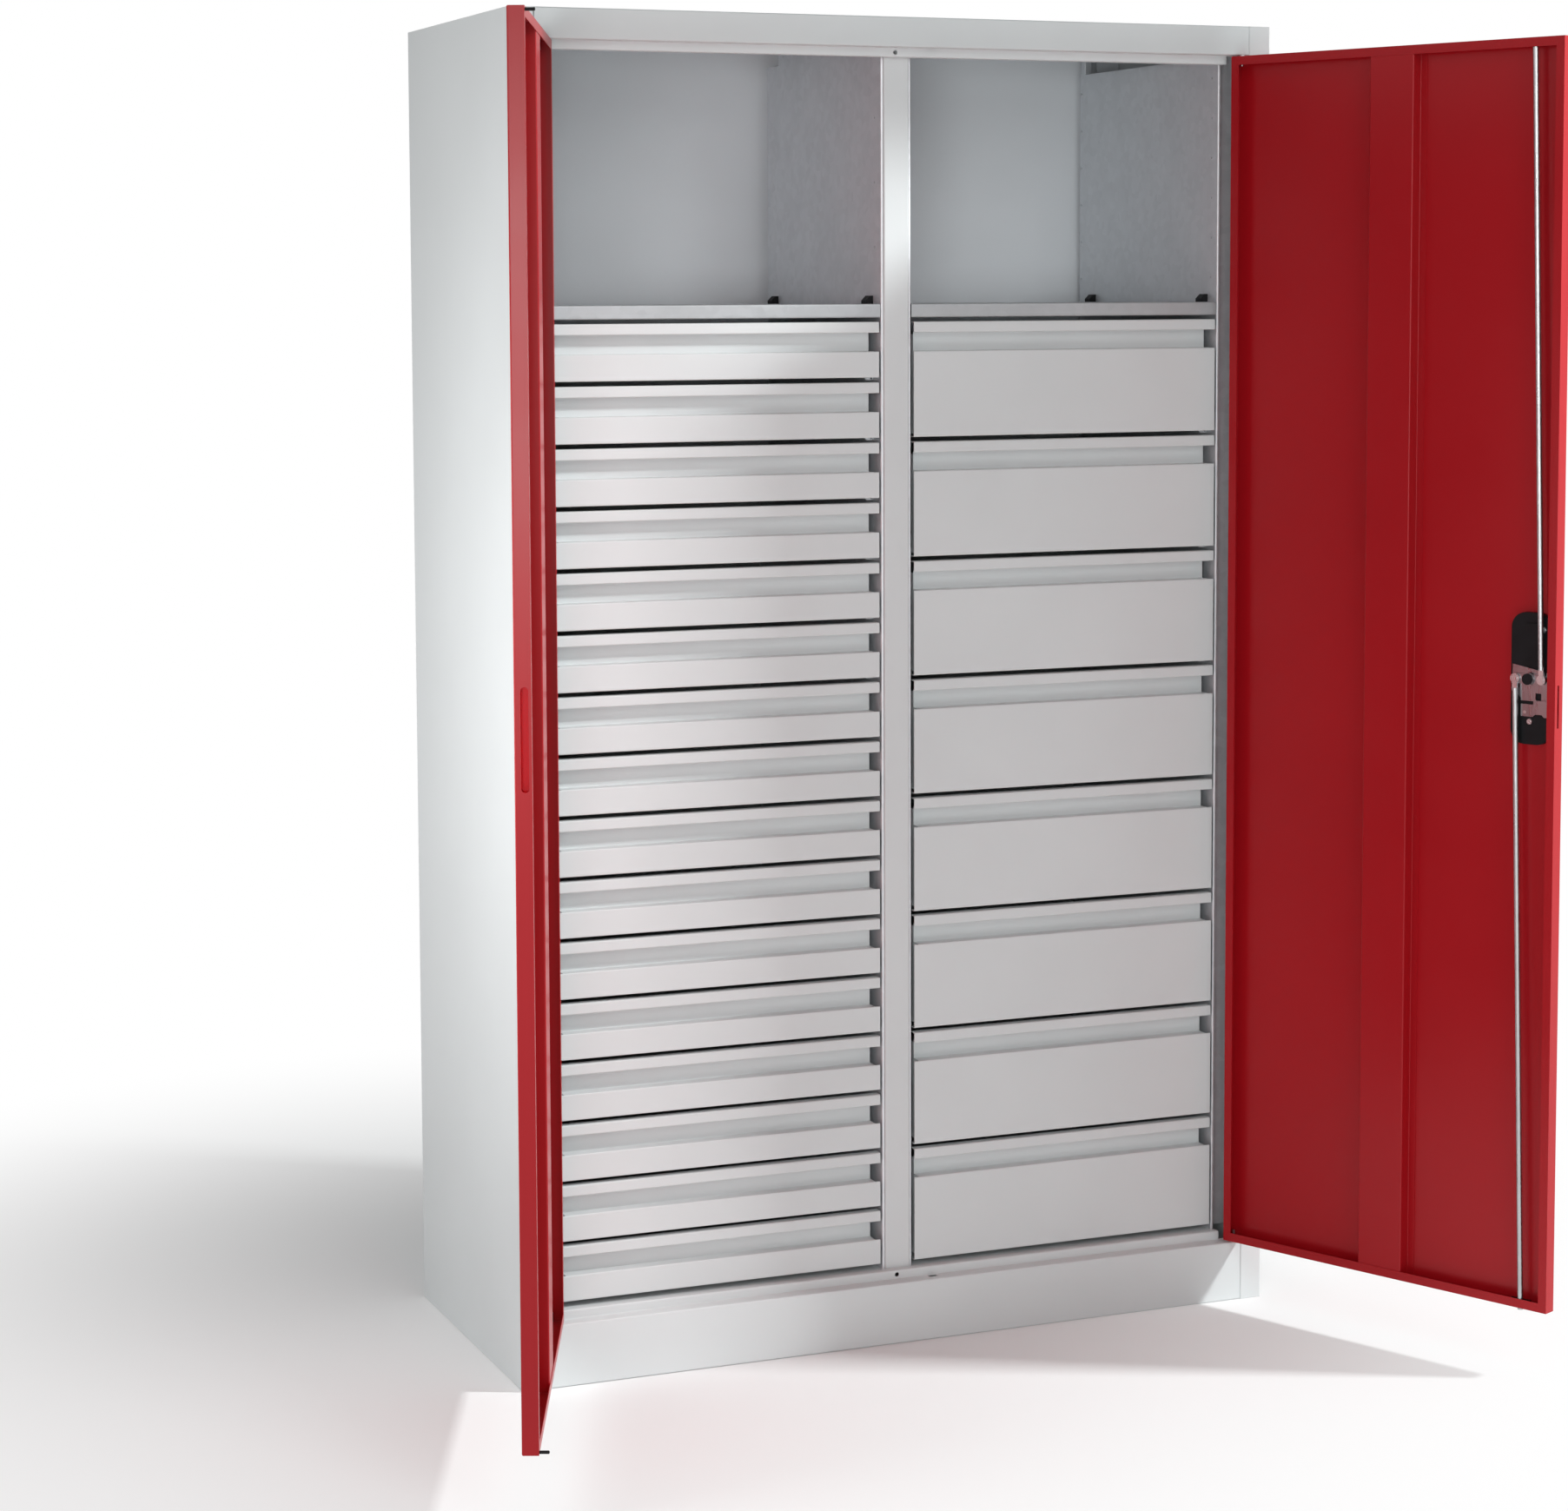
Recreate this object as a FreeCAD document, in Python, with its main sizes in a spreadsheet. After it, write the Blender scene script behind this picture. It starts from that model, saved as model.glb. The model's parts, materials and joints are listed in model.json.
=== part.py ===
import FreeCAD, Part
import Sketcher
import math
import os
from types import SimpleNamespace

# Two-door steel tool cabinet with sixteen shallow and eight deep drawers.
# X runs to the right, Y to the back and Z up; the origin is the middle of the footprint on the floor.
# The doors stand open, as they do while the drawers are in use.

SIZES = {
    # Whole cabinet
    "width": 1200,
    "depth": 500,
    "height": 1950,
    # Sheet metal and clearances
    "sheet": 1.2,
    "wall": 1.0,
    "bend": 1.0,
    "seam": 0.5,
    "play": 0.3,
    "fit": 0.05,
    "overrun": 2,
    # Side panels
    "flange": 36,
    "upright_depth": 35,
    "upright_lip": 16,
    "rear_flange": 22,
    "rear_hem": 18,
    # Roof, plinth and floor
    "fascia": 43,
    "plinth": 91,
    "door_room": 22,
    "riser": 13,
    "riser_inset": 26,
    "stop_return_gap": 2,
    "edge_fold": 20,
    "foot_width": 64,
    # Centre post, partition and side liners
    "post_gap": 4,
    "post_depth": 23,
    "face_setback": 37,
    "core_width": 48,
    "liner_inset": 4,
    "wall_setback": 2,
    "wall_rear_gap": 25,
    "liner_rear_gap": 10,
    "wall_drop": 43,
    "rail_width": 30,
    "rail_setback": 25,
    "rear_rail_depth": 14,
    "rail_slot_inset": 17,
    "rail_slot_width": 10,
    "rail_slot_height": 25,
    "rail_slot_drop": 24,
    "tab_slot_drop": 6,
    "tab_slot_pitch": 14,
    "head_overlap": 30,
    "head_hole_inset": 20,
    "head_hole_pitch": 38,
    "head_hole_drop": 14.5,
    # Square holes in the bay walls
    "hole": 3.2,
    "liner_hole_front": 18.5,
    "liner_hole_rear": 7,
    "liner_hole_drop": 31,
    "liner_hole_pitch": 60,
    "partition_hole_front": 22,
    "partition_hole_drop": 98,
    "partition_hole_pitch": 94,
    # Shelves and their clips
    "shelf_gap": 6,
    "shelf_flange": 20,
    "shelf_lip": 8,
    "shelf_play": 1,
    "clip_reach": 12,
    "clip_rise": 12,
    "clip_step": 5,
    "clip_width": 16,
    "clip_setback": 28,
    # Drawers
    "drawer_pitch": 88,
    "drawer_gap": 7,
    "stack_clearance": 7.5,
    "front_gap": 4,
    "strip": 16,
    "grip_height": 27,
    "grip_depth": 20,
    "grip_notch": 8,
    "front_fold": 14,
    "tray_clearance": 1.5,
    "tray_rear_gap": 22,
    "tray_lift": 4,
    "tray_drop": 19,
    # Drawer slides
    "slide_end_gap": 2.8,
    "slide_height": 14,
    "slide_drop": 7,
    "slide_setback": 10,
    "channel_reach": 11.5,
    # Doors and hinges
    "door_gap_low": 4,
    "door_gap_high": 2,
    "door_gap_side": 2,
    "door_gap_middle": 3,
    "door_lip": 13,
    "door_round": 2,
    "pivot_inset": 7,
    "pivot_setback": 5,
    "left_opening": 111.9,
    "right_opening": 114.6,
    "stiffener_width": 72,
    "stiffener_foot": 12,
    "hinge_pin_radius": 2.5,
    "hinge_pin_reach": 14,
    "bush_radius": 3.5,
    "bush_collar_radius": 5,
    # Lock and handle
    "lock_level": 1004,
    "lock_inset": 46.5,
    "dish_width": 63,
    "dish_height": 188,
    "dish_round": 22,
    "dish_wall": 2,
    "dish_rim": 4,
    "dish_rim_depth": 2,
    "lever_length": 96,
    "lever_width": 24,
    "lever_depth": 12,
    "lever_standoff": 3,
    "lever_round": 3,
    "collar_radius": 14,
    "spindle_width": 8,
    "cap_radius": 8,
    "cap_depth": 2,
    "cylinder_rise": 54,
    "cylinder_radius": 11,
    "housing_width": 26,
    "housing_height": 50,
    "housing_round": 4,
    "plug_radius": 6.5,
    "key_slot_width": 1.6,
    "key_slot_depth": 4,
    "plate_reach": 28,
    "plate_rise": 20,
    "plate_step": 14,
    "plate_drop": 54,
    "plate_notch": 9,
    "plate_depth": 2,
    "hook_length": 20,
    "hook_height": 5,
    "hook_drop": 34,
    "window_width": 9,
    "window_height": 10,
    "window_drop": 25,
    "cam_reach": 21,
    "cam_width": 14,
    "cam_depth": 3,
    "cam_hub_radius": 9,
    "cam_pin_radius": 3,
    "rod_radius": 4,
    "rod_clearance": 0.4,
    "rod_show": 3,
    "rod_neck": 14,
    "eye_radius": 7,
    "guide_width": 30,
    "guide_height": 10,
    "slot_margin": 0.8,
    "latch_length": 30,
    "latch_height": 20,
    "latch_gap": 2,
    "latch_setback": 5,
    "latch_slot_height": 61,
    "latch_slot_rise": 3.5,
    "keeper_height": 132,
    "keeper_width": 10,
    "keeper_depth": 18,
    "screw_radius": 4,
    "screw_depth": 2.5,
    "screw_drop": 61,
    "screw_rise": 71,
    "catch_radius": 2.2,
    "catch_length": 13,
    "catch_round": 1.5,
    "catch_hole_margin": 1,
}

SMALL_DRAWERS = 16
PITCHES_OF_LARGE = 2
LINER_HOLES = 6
PARTITION_HOLES = 3
# A rod's free end swings this share of the cam's reach to each side during a quarter turn.
ROD_SWING_SHARE = (math.cos(math.pi / 4) - 0.5) / 2

doc = FreeCAD.newDocument("tool_cabinet")


# Sizes


class Size:
    """A length of the sheet, or a sum of such lengths, with its number and its formula."""

    def __init__(self, value, formula):
        self.value = value
        self.formula = formula

    def __add__(self, other):
        return joined(self, "+", other, self.value + number(other))

    def __radd__(self, other):
        return joined(other, "+", self, number(other) + self.value)

    def __sub__(self, other):
        return joined(self, "-", other, self.value - number(other))

    def __rsub__(self, other):
        return joined(other, "-", self, number(other) - self.value)

    def __mul__(self, other):
        return joined(self, "*", other, self.value * number(other))

    __rmul__ = __mul__

    def __truediv__(self, other):
        return joined(self, "/", other, self.value / number(other))

    def __neg__(self):
        return self * -1


def number(size):
    return size.value if isinstance(size, Size) else float(size)


def formula(size):
    return size.formula if isinstance(size, Size) else repr(float(size))


def joined(first, sign, second, value):
    return Size(value, f"({formula(first)} {sign} {formula(second)})")


def fill_sheet():
    """Write the driving sizes to the document's sheet and return them by name."""
    sheet = doc.addObject("Spreadsheet::Sheet", "sizes")
    for row, (alias, value) in enumerate(SIZES.items(), start=1):
        sheet.set(f"A{row}", alias)
        sheet.set(f"B{row}", str(value))
        sheet.setAlias(f"B{row}", alias)
    doc.recompute()
    return SimpleNamespace(**{alias: Size(sheet.get(alias), f"sizes.{alias}") for alias in SIZES})


s = fill_sheet()

# Levels and lines that several pieces share
half_width = s.width / 2
front = -s.depth / 2
back = s.depth / 2
frame_x = half_width - s.flange
riser_x = frame_x - s.riser_inset
stop = front + s.door_room
face = front + s.face_setback
ledge = s.plinth
sill = s.plinth + s.riser
floor_top = sill - s.sheet
head = s.height - s.fascia
head_stop = head - s.riser
stop_return = s.face_setback - s.door_room - s.stop_return_gap
bay_near = s.core_width / 2
bay_far = riser_x - s.liner_inset
bay_middle = (bay_near + bay_far) / 2
bay_half = (bay_far - bay_near) / 2
front_hem = s.post_gap - s.seam
wall_front = face + s.wall_setback
wall_back = back - s.wall_rear_gap
liner_back = back - s.liner_rear_gap
wall_top = s.height - s.wall_drop
stack_level = sill + s.stack_clearance
stack_top = stack_level + s.drawer_pitch * SMALL_DRAWERS - s.drawer_gap
shelf_level = stack_top + s.shelf_gap + s.shelf_flange

# Door lines, measured from the hinge axis of the right-hand door when it is shut
door_width = frame_x - s.door_gap_side - s.door_gap_middle / 2
door_hinge = s.pivot_inset
door_free = s.pivot_inset - door_width
door_front = -s.pivot_setback
door_back = door_front + s.door_room
door_low = ledge + s.door_gap_low
door_high = head - s.door_gap_high
pivot_x = frame_x - s.door_gap_side - s.pivot_inset
pivot_y = front + s.pivot_setback

# Lock lines, from the same hinge axis
lock_x = door_free + s.lock_inset
rod_y = door_back - s.wall - s.rod_clearance - s.rod_radius
eye_front = rod_y - s.cam_depth / 2
eye_back = rod_y + s.cam_depth / 2
cam_back = eye_front - s.play
cam_front = cam_back - s.cam_depth
plate_back = cam_front - s.play
dish_back = plate_back - s.plate_depth
rod_swing = s.cam_reach * ROD_SWING_SHARE
slot_half = s.rod_radius + rod_swing + s.slot_margin
slot_depth = s.rod_radius + s.play
latch_middle = s.lock_level - s.cam_reach - s.cam_width / 2 - s.latch_gap - s.latch_height / 2
catch_x = door_free + s.door_lip / 2
catch_low = ledge + s.riser / 2
catch_high = head - s.riser / 2


# Outlines


def heading(start, end):
    """The unit direction of a line along one of the two axes, or None for a slanted line."""
    across = number(end[0]) - number(start[0])
    along = number(end[1]) - number(start[1])
    if across and along:
        return None
    return (int(math.copysign(1, across)) if across else 0, int(math.copysign(1, along)) if along else 0)


def moved(point, direction, length):
    """A point moved by a length along an axis direction."""
    return tuple(at + length * step if step else at for at, step in zip(point, direction))


def rectangle(u_low, u_high, v_low, v_high, radius=None):
    corners = ((u_low, v_low), (u_high, v_low), (u_high, v_high), (u_low, v_high))
    return [(u, v, radius) for u, v in corners]


def block(u_middle, u_size, v_middle, v_size, radius=None):
    """A rectangle about its middle."""
    half_u = u_size / 2
    half_v = v_size / 2
    return rectangle(u_middle - half_u, u_middle + half_u, v_middle - half_v, v_middle + half_v, radius)


def disc(u, v, radius):
    return ("disc", u, v, radius)


def stadium(u, v, width, height):
    """An upright slot with half-round ends."""
    return ("stadium", u, v, width / 2, (height - width) / 2)


def folded(path, thickness, side):
    """The outline of a sheet folded along a path, with its thickness to the left (1) or right (-1)."""
    steps = [heading(start, end) for start, end in zip(path, path[1:])]
    normals = [(-along * side, across * side) for across, along in steps]
    near = [(*path[0], None)]
    far = [(*moved(path[0], normals[0], thickness), None)]
    for index in range(1, len(path) - 1):
        before, after = steps[index - 1], steps[index]
        shifted = moved(moved(path[index], normals[index - 1], thickness), normals[index], thickness)
        inward = (before[0] * after[1] - before[1] * after[0]) * side > 0
        wide = s.bend + thickness
        near.append((*path[index], wide if inward else s.bend))
        far.append((*shifted, s.bend if inward else wide))
    near.append((*path[-1], None))
    far.append((*moved(path[-1], normals[-1], thickness), None))
    return near + far[::-1]


class Drawing:
    """The lines, arcs and circles of one sketch, held at bound distances from its origin."""

    def __init__(self, sketch):
        self.sketch = sketch
        self.geometry = []
        self.constraints = []
        self.formulas = []

    def bind(self, constraint, size):
        self.constraints.append(constraint)
        self.formulas.append(formula(size))

    def hold(self, index, position, point):
        for kind, size in zip(("DistanceX", "DistanceY"), point):
            self.bind(Sketcher.Constraint(kind, -1, 1, index, position, number(size)), size)

    def line(self, start, end, end_held=True):
        ends = [FreeCAD.Vector(number(u), number(v), 0) for u, v in (start, end)]
        self.geometry.append(Part.LineSegment(*ends))
        index = len(self.geometry) - 1
        self.hold(index, 1, start)
        if end_held:
            self.hold(index, 2, end)
        return index

    def join(self, first, first_end, second, second_end):
        self.constraints.append(Sketcher.Constraint("Coincident", first, first_end, second, second_end))
        self.formulas.append(None)

    def arc(self, centre, radius, start, end, before, after):
        """An arc from the end of one line to the start of the next."""
        middle = FreeCAD.Vector(number(centre[0]), number(centre[1]), 0)
        circle = Part.Circle(middle, FreeCAD.Vector(0, 0, 1), number(radius))
        angles = [math.atan2(number(v) - middle.y, number(u) - middle.x) for u, v in (start, end)]
        turn = (angles[1] - angles[0]) % math.tau
        forwards = turn <= math.pi + 0.01
        first, last = angles if forwards else angles[::-1]
        self.geometry.append(Part.ArcOfCircle(circle, first, last))
        index = len(self.geometry) - 1
        start_end, end_end = (1, 2) if forwards else (2, 1)
        self.join(before, 2, index, start_end)
        self.join(after, 1, index, end_end)
        if number(start[1]) == number(end[1]):
            self.bind(Sketcher.Constraint("DistanceY", -1, 1, index, 3, middle.y), centre[1])
        else:
            self.bind(Sketcher.Constraint("Radius", index, number(radius)), radius)

    def outline(self, corners):
        """A closed outline of lines, with an arc at each corner that has a radius."""
        count = len(corners)
        stops = []
        for index, (u, v, radius) in enumerate(corners):
            if radius is None:
                stops.append(((u, v), (u, v), None))
                continue
            into = heading(corners[index - 1][:2], (u, v))
            out = heading((u, v), corners[(index + 1) % count][:2])
            arrive = moved((u, v), into, -radius)
            leave = moved((u, v), out, radius)
            stops.append((arrive, leave, moved(arrive, out, radius)))
        lines = []
        for index in range(count):
            arrive, _, centre = stops[(index + 1) % count]
            lines.append(self.line(stops[index][1], arrive, centre is not None))
        for index, (arrive, leave, centre) in enumerate(stops):
            if centre is None:
                self.join(lines[index - 1], 2, lines[index], 1)
            else:
                self.arc(centre, corners[index][2], arrive, leave, lines[index - 1], lines[index])

    def circle(self, u, v, radius):
        middle = FreeCAD.Vector(number(u), number(v), 0)
        self.geometry.append(Part.Circle(middle, FreeCAD.Vector(0, 0, 1), number(radius)))
        index = len(self.geometry) - 1
        self.hold(index, 3, (u, v))
        self.bind(Sketcher.Constraint("Radius", index, number(radius)), radius)

    def stadium(self, u, v, radius, half_straight):
        right = self.line((u + radius, v - half_straight), (u + radius, v + half_straight))
        left = self.line((u - radius, v + half_straight), (u - radius, v - half_straight))
        top = ((u + radius, v + half_straight), (u - radius, v + half_straight))
        bottom = ((u - radius, v - half_straight), (u + radius, v - half_straight))
        self.arc((u, v + half_straight), radius, *top, right, left)
        self.arc((u, v - half_straight), radius, *bottom, left, right)

    def finish(self, shapes):
        for shape in shapes:
            if isinstance(shape, list):
                self.outline(shape)
            elif shape[0] == "disc":
                self.circle(*shape[1:])
            else:
                self.stadium(*shape[1:])
        self.sketch.addGeometry(self.geometry)
        added = self.sketch.addConstraint(self.constraints)
        for index, text in zip(added, self.formulas):
            if text is not None:
                self.sketch.setExpression(f"Constraints[{index}]", text)


# Pieces

PLANES = {"x": "YZ_Plane", "y": "XZ_Plane", "z": "XY_Plane"}
nodes = []


class Piece:
    """A body made of outlines drawn across an axis and run between two levels along it."""

    def __init__(self, name):
        self.body = doc.addObject("PartDesign::Body", name)
        self.body.Label = name

    def sketch(self, axis, level, shapes):
        """A sketch across an axis at a level; the plane across Y looks to the front."""
        sketch = self.body.newObject("Sketcher::SketchObject", f"{self.body.Name}_sketch")
        plane = [part for part in self.body.Origin.OriginFeatures if part.Role == PLANES[axis]][0]
        sketch.AttachmentSupport = [(plane, "")]
        sketch.MapMode = "FlatFace"
        sketch.setExpression("AttachmentOffset.Base.z", formula(-level if axis == "y" else level))
        Drawing(sketch).finish(shapes)
        return sketch

    def feature(self, kind, sketch, length):
        feature = self.body.newObject(f"PartDesign::{kind}", f"{self.body.Name}_{kind.lower()}")
        feature.Profile = sketch
        feature.setExpression("Length", formula(length))
        return feature

    def add(self, axis, one, other, *shapes):
        """Add the shapes between two levels of an axis."""
        low, high = sorted((one, other), key=number)
        self.feature("Pad", self.sketch(axis, high if axis == "y" else low, shapes), high - low)
        return self

    def cut(self, axis, one, other, *shapes):
        """Cut the shapes away between two levels of an axis."""
        low, high = sorted((one, other), key=number)
        self.feature("Pocket", self.sketch(axis, low if axis == "y" else high, shapes), high - low)
        return self

    def round(self, radius, chosen):
        """Round the edges of the last feature that a test picks by their middles."""
        doc.recompute()
        base = self.body.Tip
        edges = enumerate(base.Shape.Edges, start=1)
        names = [f"Edge{index}" for index, edge in edges if chosen(edge.CenterOfMass)]
        fillet = self.body.newObject("PartDesign::Fillet", f"{self.body.Name}_round")
        fillet.Base = (base, names)
        fillet.setExpression("Radius", formula(radius))
        return self

    def loft(self, first, last):
        """Add a straight loft between two discs at their levels."""
        sections = [self.sketch("z", level, [shape]) for level, shape in (first, last)]
        loft = self.body.newObject("PartDesign::AdditiveLoft", f"{self.body.Name}_loft")
        loft.Profile = sections[0]
        loft.Sections = sections[1:]
        loft.Ruled = True
        return self


def near(one, other):
    return abs(one - number(other)) < s.fit.value


def node(shape_object):
    nodes.append(shape_object)
    return shape_object


def fixed(piece):
    """A piece that stays where it was drawn."""
    return node(piece.body)


def group(name, members):
    """One node of several like pieces."""
    compound = doc.addObject("Part::Compound", name)
    compound.Label = name
    compound.Links = members
    return node(compound)


def placed(name, members, x, y, z):
    """Copies of pieces set at a place."""
    compound = doc.addObject("Part::Compound", name)
    compound.Label = name
    compound.Links = members
    for axis, size in zip("xyz", (x, y, z)):
        compound.setExpression(f"Placement.Base.{axis}", formula(size))
    return compound


def on_door(shape_object, sign):
    """Hang a piece that was drawn about the hinge axis on the right (1) or left (-1) door."""
    opening = s.right_opening if sign > 0 else s.left_opening
    turn = FreeCAD.Rotation(FreeCAD.Vector(0, 0, sign), opening.value)
    shape_object.Placement = FreeCAD.Placement(FreeCAD.Vector(0, 0, 0), turn)
    shape_object.setExpression("Placement.Rotation.Angle", formula(opening))
    shape_object.setExpression("Placement.Base.x", formula(pivot_x * sign))
    shape_object.setExpression("Placement.Base.y", formula(pivot_y))
    return node(shape_object)


# Carcass


def side_panel(name, sign):
    """A side sheet folded into a boxed front upright and a rear flange, with a strip across its top."""
    path = [
        (half_width - s.rear_flange, back),
        (half_width, back),
        (half_width, front),
        (frame_x, front),
        (frame_x, front + s.upright_depth),
        (frame_x + s.upright_lip, front + s.upright_depth),
    ]
    piece = Piece(name)
    piece.add("z", 0, s.height, folded([(x * sign, y) for x, y in path], s.sheet, -sign))
    inner = (half_width - s.sheet) * sign
    strip = rectangle(frame_x * sign, inner, front + s.sheet, back - s.sheet)
    piece.add("z", s.height - s.sheet, s.height, strip)
    fixed(piece)


def roof_panel():
    """Roof, fascia and door stop in one folded sheet."""
    rear = back - s.sheet * 2
    path = [
        (rear, s.height - s.edge_fold),
        (rear, s.height),
        (front, s.height),
        (front, head),
        (stop, head),
        (stop, head_stop),
        (stop + stop_return, head_stop),
    ]
    piece = Piece("roof_panel")
    reach = frame_x - s.seam
    piece.add("x", -reach, reach, folded(path, s.sheet, 1))
    for sign in (-1, 1):
        stop_end = rectangle(stop, stop + stop_return + s.overrun, head_stop - s.overrun, head)
        piece.cut("x", riser_x * sign, (frame_x + s.overrun) * sign, stop_end)
    frame_holes(piece, head - s.overrun, head + s.sheet + s.overrun, catch_high)
    fixed(piece)


def frame_holes(piece, low, high, catch_level):
    """The bush holes and rod slot of a frame rail, and the catch hole of its door stop."""
    bushes = [disc(pivot_x * sign, pivot_y, s.bush_radius + s.fit) for sign in (-1, 1)]
    rod_slot = block(pivot_x + lock_x, slot_half * 2, pivot_y + rod_y, slot_depth * 2)
    piece.cut("z", low, high, *bushes, rod_slot)
    hole = disc(-pivot_x - catch_x, catch_level, s.catch_radius + s.catch_hole_margin)
    piece.cut("y", stop - s.overrun, stop + s.sheet + s.overrun, hole)


def plinth_panel():
    """Plinth, door ledge and lower door stop in one folded sheet."""
    path = [
        (front + s.edge_fold, 0),
        (front, 0),
        (front, ledge),
        (stop, ledge),
        (stop, sill),
        (stop + stop_return, sill),
    ]
    piece = Piece("plinth_panel")
    reach = frame_x - s.seam
    piece.add("x", -reach, reach, folded(path, s.sheet, -1))
    for sign in (-1, 1):
        stop_end = rectangle(stop, stop + stop_return + s.overrun, ledge, sill + s.overrun)
        piece.cut("x", riser_x * sign, (frame_x + s.overrun) * sign, stop_end)
    frame_holes(piece, ledge - s.sheet - s.overrun, ledge + s.overrun, catch_low)
    fixed(piece)


def floor_panel():
    """The floor under the drawers, with its rear edge folded down."""
    rear = back - s.sheet * 2
    start = stop + s.sheet + s.bend
    path = [(start, floor_top), (rear, floor_top), (rear, floor_top - s.edge_fold)]
    piece = Piece("floor_panel")
    piece.add("x", -riser_x, riser_x, folded(path, s.sheet, -1))
    fixed(piece)


def centre_foot():
    """The channel under the floor that carries the partition and both stacks to the ground."""
    half = s.foot_width / 2
    top = floor_top - s.sheet
    path = [(-half, top), (-half, 0), (half, 0), (half, top)]
    piece = Piece("centre_foot")
    piece.add("y", stop + s.sheet, back - s.sheet * 3 - s.bend, folded(path, s.sheet, 1))
    fixed(piece)


def back_panel():
    """The back sheet, inside the rear flanges, with folded edges."""
    reach = half_width - s.sheet - s.seam
    rear = back - s.sheet
    path = [(-reach, rear - s.rear_hem), (-reach, rear), (reach, rear), (reach, rear - s.rear_hem)]
    piece = Piece("back_panel")
    piece.add("z", 0, s.height - s.sheet, folded(path, s.sheet, -1))
    fixed(piece)


def centre_post():
    """The channel post between the two bays."""
    half = bay_near - s.post_gap
    path = [(-half, face + s.post_depth), (-half, face), (half, face), (half, face + s.post_depth)]
    piece = Piece("centre_post")
    piece.add("z", floor_top, s.height - s.sheet, folded(path, s.sheet, 1))
    fixed(piece)


def hole_column(y, drop, pitch, count):
    """Small square holes down a bay wall."""
    return [block(y, s.hole, wall_top - drop - pitch * index, s.hole) for index in range(count)]


def bay_wall(name, inner, outward, sign, rear, holes):
    """A galvanised bay wall with a narrow front hem and a wide rear one, on one side of a bay."""
    path = [
        (inner + front_hem * outward, wall_front),
        (inner, wall_front),
        (inner, rear),
        (inner + s.rear_hem * outward, rear),
    ]
    piece = Piece(name)
    walls = folded([(x * sign, y) for x, y in path], s.wall, -sign * outward)
    piece.add("z", floor_top, wall_top, walls)
    piece.cut("x", (inner - s.overrun) * sign, (inner + s.overrun) * sign, *holes)
    return piece.body


def partition_sheets():
    """The two sheets of the partition, holed near their front edges."""
    holes = hole_column(
        wall_front + s.partition_hole_front, s.partition_hole_drop, s.partition_hole_pitch, PARTITION_HOLES
    )
    return [
        bay_wall(f"{side}_partition", bay_near, -1, sign, wall_back, holes)
        for sign, side in ((-1, "left"), (1, "right"))
    ]


def side_liners():
    """The two liners of the side panels, holed near their front and rear edges."""
    holes = [
        hole
        for y in (wall_front + s.liner_hole_front, liner_back - s.liner_hole_rear)
        for hole in hole_column(y, s.liner_hole_drop, s.liner_hole_pitch, LINER_HOLES)
    ]
    return [
        bay_wall(f"{side}_liner", bay_far, 1, sign, liner_back, holes)
        for sign, side in ((-1, "left"), (1, "right"))
    ]


def liner_rails():
    """Four channels that hold the side liners off the side panels."""
    rails = []
    for sign, side in ((-1, "left"), (1, "right")):
        outer = half_width - s.sheet
        inner = bay_far + s.wall
        for start, depth, end, end_name in (
            (wall_front + s.rail_setback, s.rail_width, outer, "front"),
            (liner_back - s.wall - s.rear_rail_depth, s.rear_rail_depth, outer - s.seam - s.sheet, "rear"),
        ):
            path = [(end, start), (inner, start), (inner, start + depth), (end, start + depth)]
            piece = Piece(f"{side}_{end_name}_rail")
            channel = folded([(x * sign, y) for x, y in path], s.sheet, -sign)
            piece.add("z", floor_top, s.height - s.sheet, channel)
            if end_name == "rear":
                rail_openings(piece, inner, start, sign)
            rails.append(piece.body)
    return rails


def rail_openings(piece, inner, start, sign):
    """The holes of a rear rail behind those of its liner, and the slots at its top."""
    holes = hole_column(liner_back - s.liner_hole_rear, s.liner_hole_drop, s.liner_hole_pitch, LINER_HOLES)
    piece.cut("x", (inner - s.overrun) * sign, (inner + s.overrun) * sign, *holes)
    top = s.height - s.sheet
    near_x = (inner + s.rail_slot_inset) * sign
    far_x = (inner + s.rail_slot_inset * 2) * sign
    slots = [block(near_x, s.rail_slot_width, top - s.rail_slot_drop, s.rail_slot_height)]
    for level in (top - s.tab_slot_drop, top - s.tab_slot_drop - s.tab_slot_pitch):
        slots.append(block(far_x, s.rail_slot_width, level, s.hole))
    piece.cut("y", start - s.overrun, start + s.overrun, *slots)


def partition_rail():
    """The channel that ties the rear edges of the two partition sheets."""
    reach = bay_near - s.wall
    rear = wall_back - s.wall
    start = rear - s.rail_width
    path = [(-reach, start), (-reach, rear), (reach, rear), (reach, start)]
    piece = Piece("partition_rail")
    piece.add("z", floor_top, wall_top, folded(path, s.sheet, -1))
    return piece.body


def partition_head():
    """The channel that ties both partition sheets to the roof."""
    reach = bay_near - s.wall
    low = wall_top - s.head_overlap
    top = s.height - s.sheet
    rear = wall_back - s.wall - s.rail_width - s.rear_rail_depth
    path = [(-reach, low), (-reach, top), (reach, top), (reach, low)]
    piece = Piece("partition_head")
    piece.add("y", wall_front + s.rail_setback, rear, folded(path, s.sheet, -1))
    inset = rear - s.head_hole_inset
    upper = top - s.head_hole_drop
    lower = upper - s.head_hole_drop
    places = ((inset, upper), (inset, lower), (inset - s.head_hole_pitch, lower))
    holes = [block(y, s.hole, z, s.hole) for y, z in places]
    piece.cut("x", -reach - s.overrun, reach + s.overrun, *holes)
    return piece.body


def shelf(name, sign):
    """A galvanised shelf with a folded front edge."""
    rear = wall_back - s.shelf_play
    low = shelf_level - s.shelf_flange
    path = [
        (wall_front + s.shelf_lip, low),
        (wall_front, low),
        (wall_front, shelf_level),
        (rear, shelf_level),
        (rear, low),
    ]
    piece = Piece(name)
    inner = (bay_near + s.shelf_play) * sign
    outer = (bay_far - s.shelf_play) * sign
    piece.add("x", inner, outer, folded(path, s.sheet, -1))
    return piece.body


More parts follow.
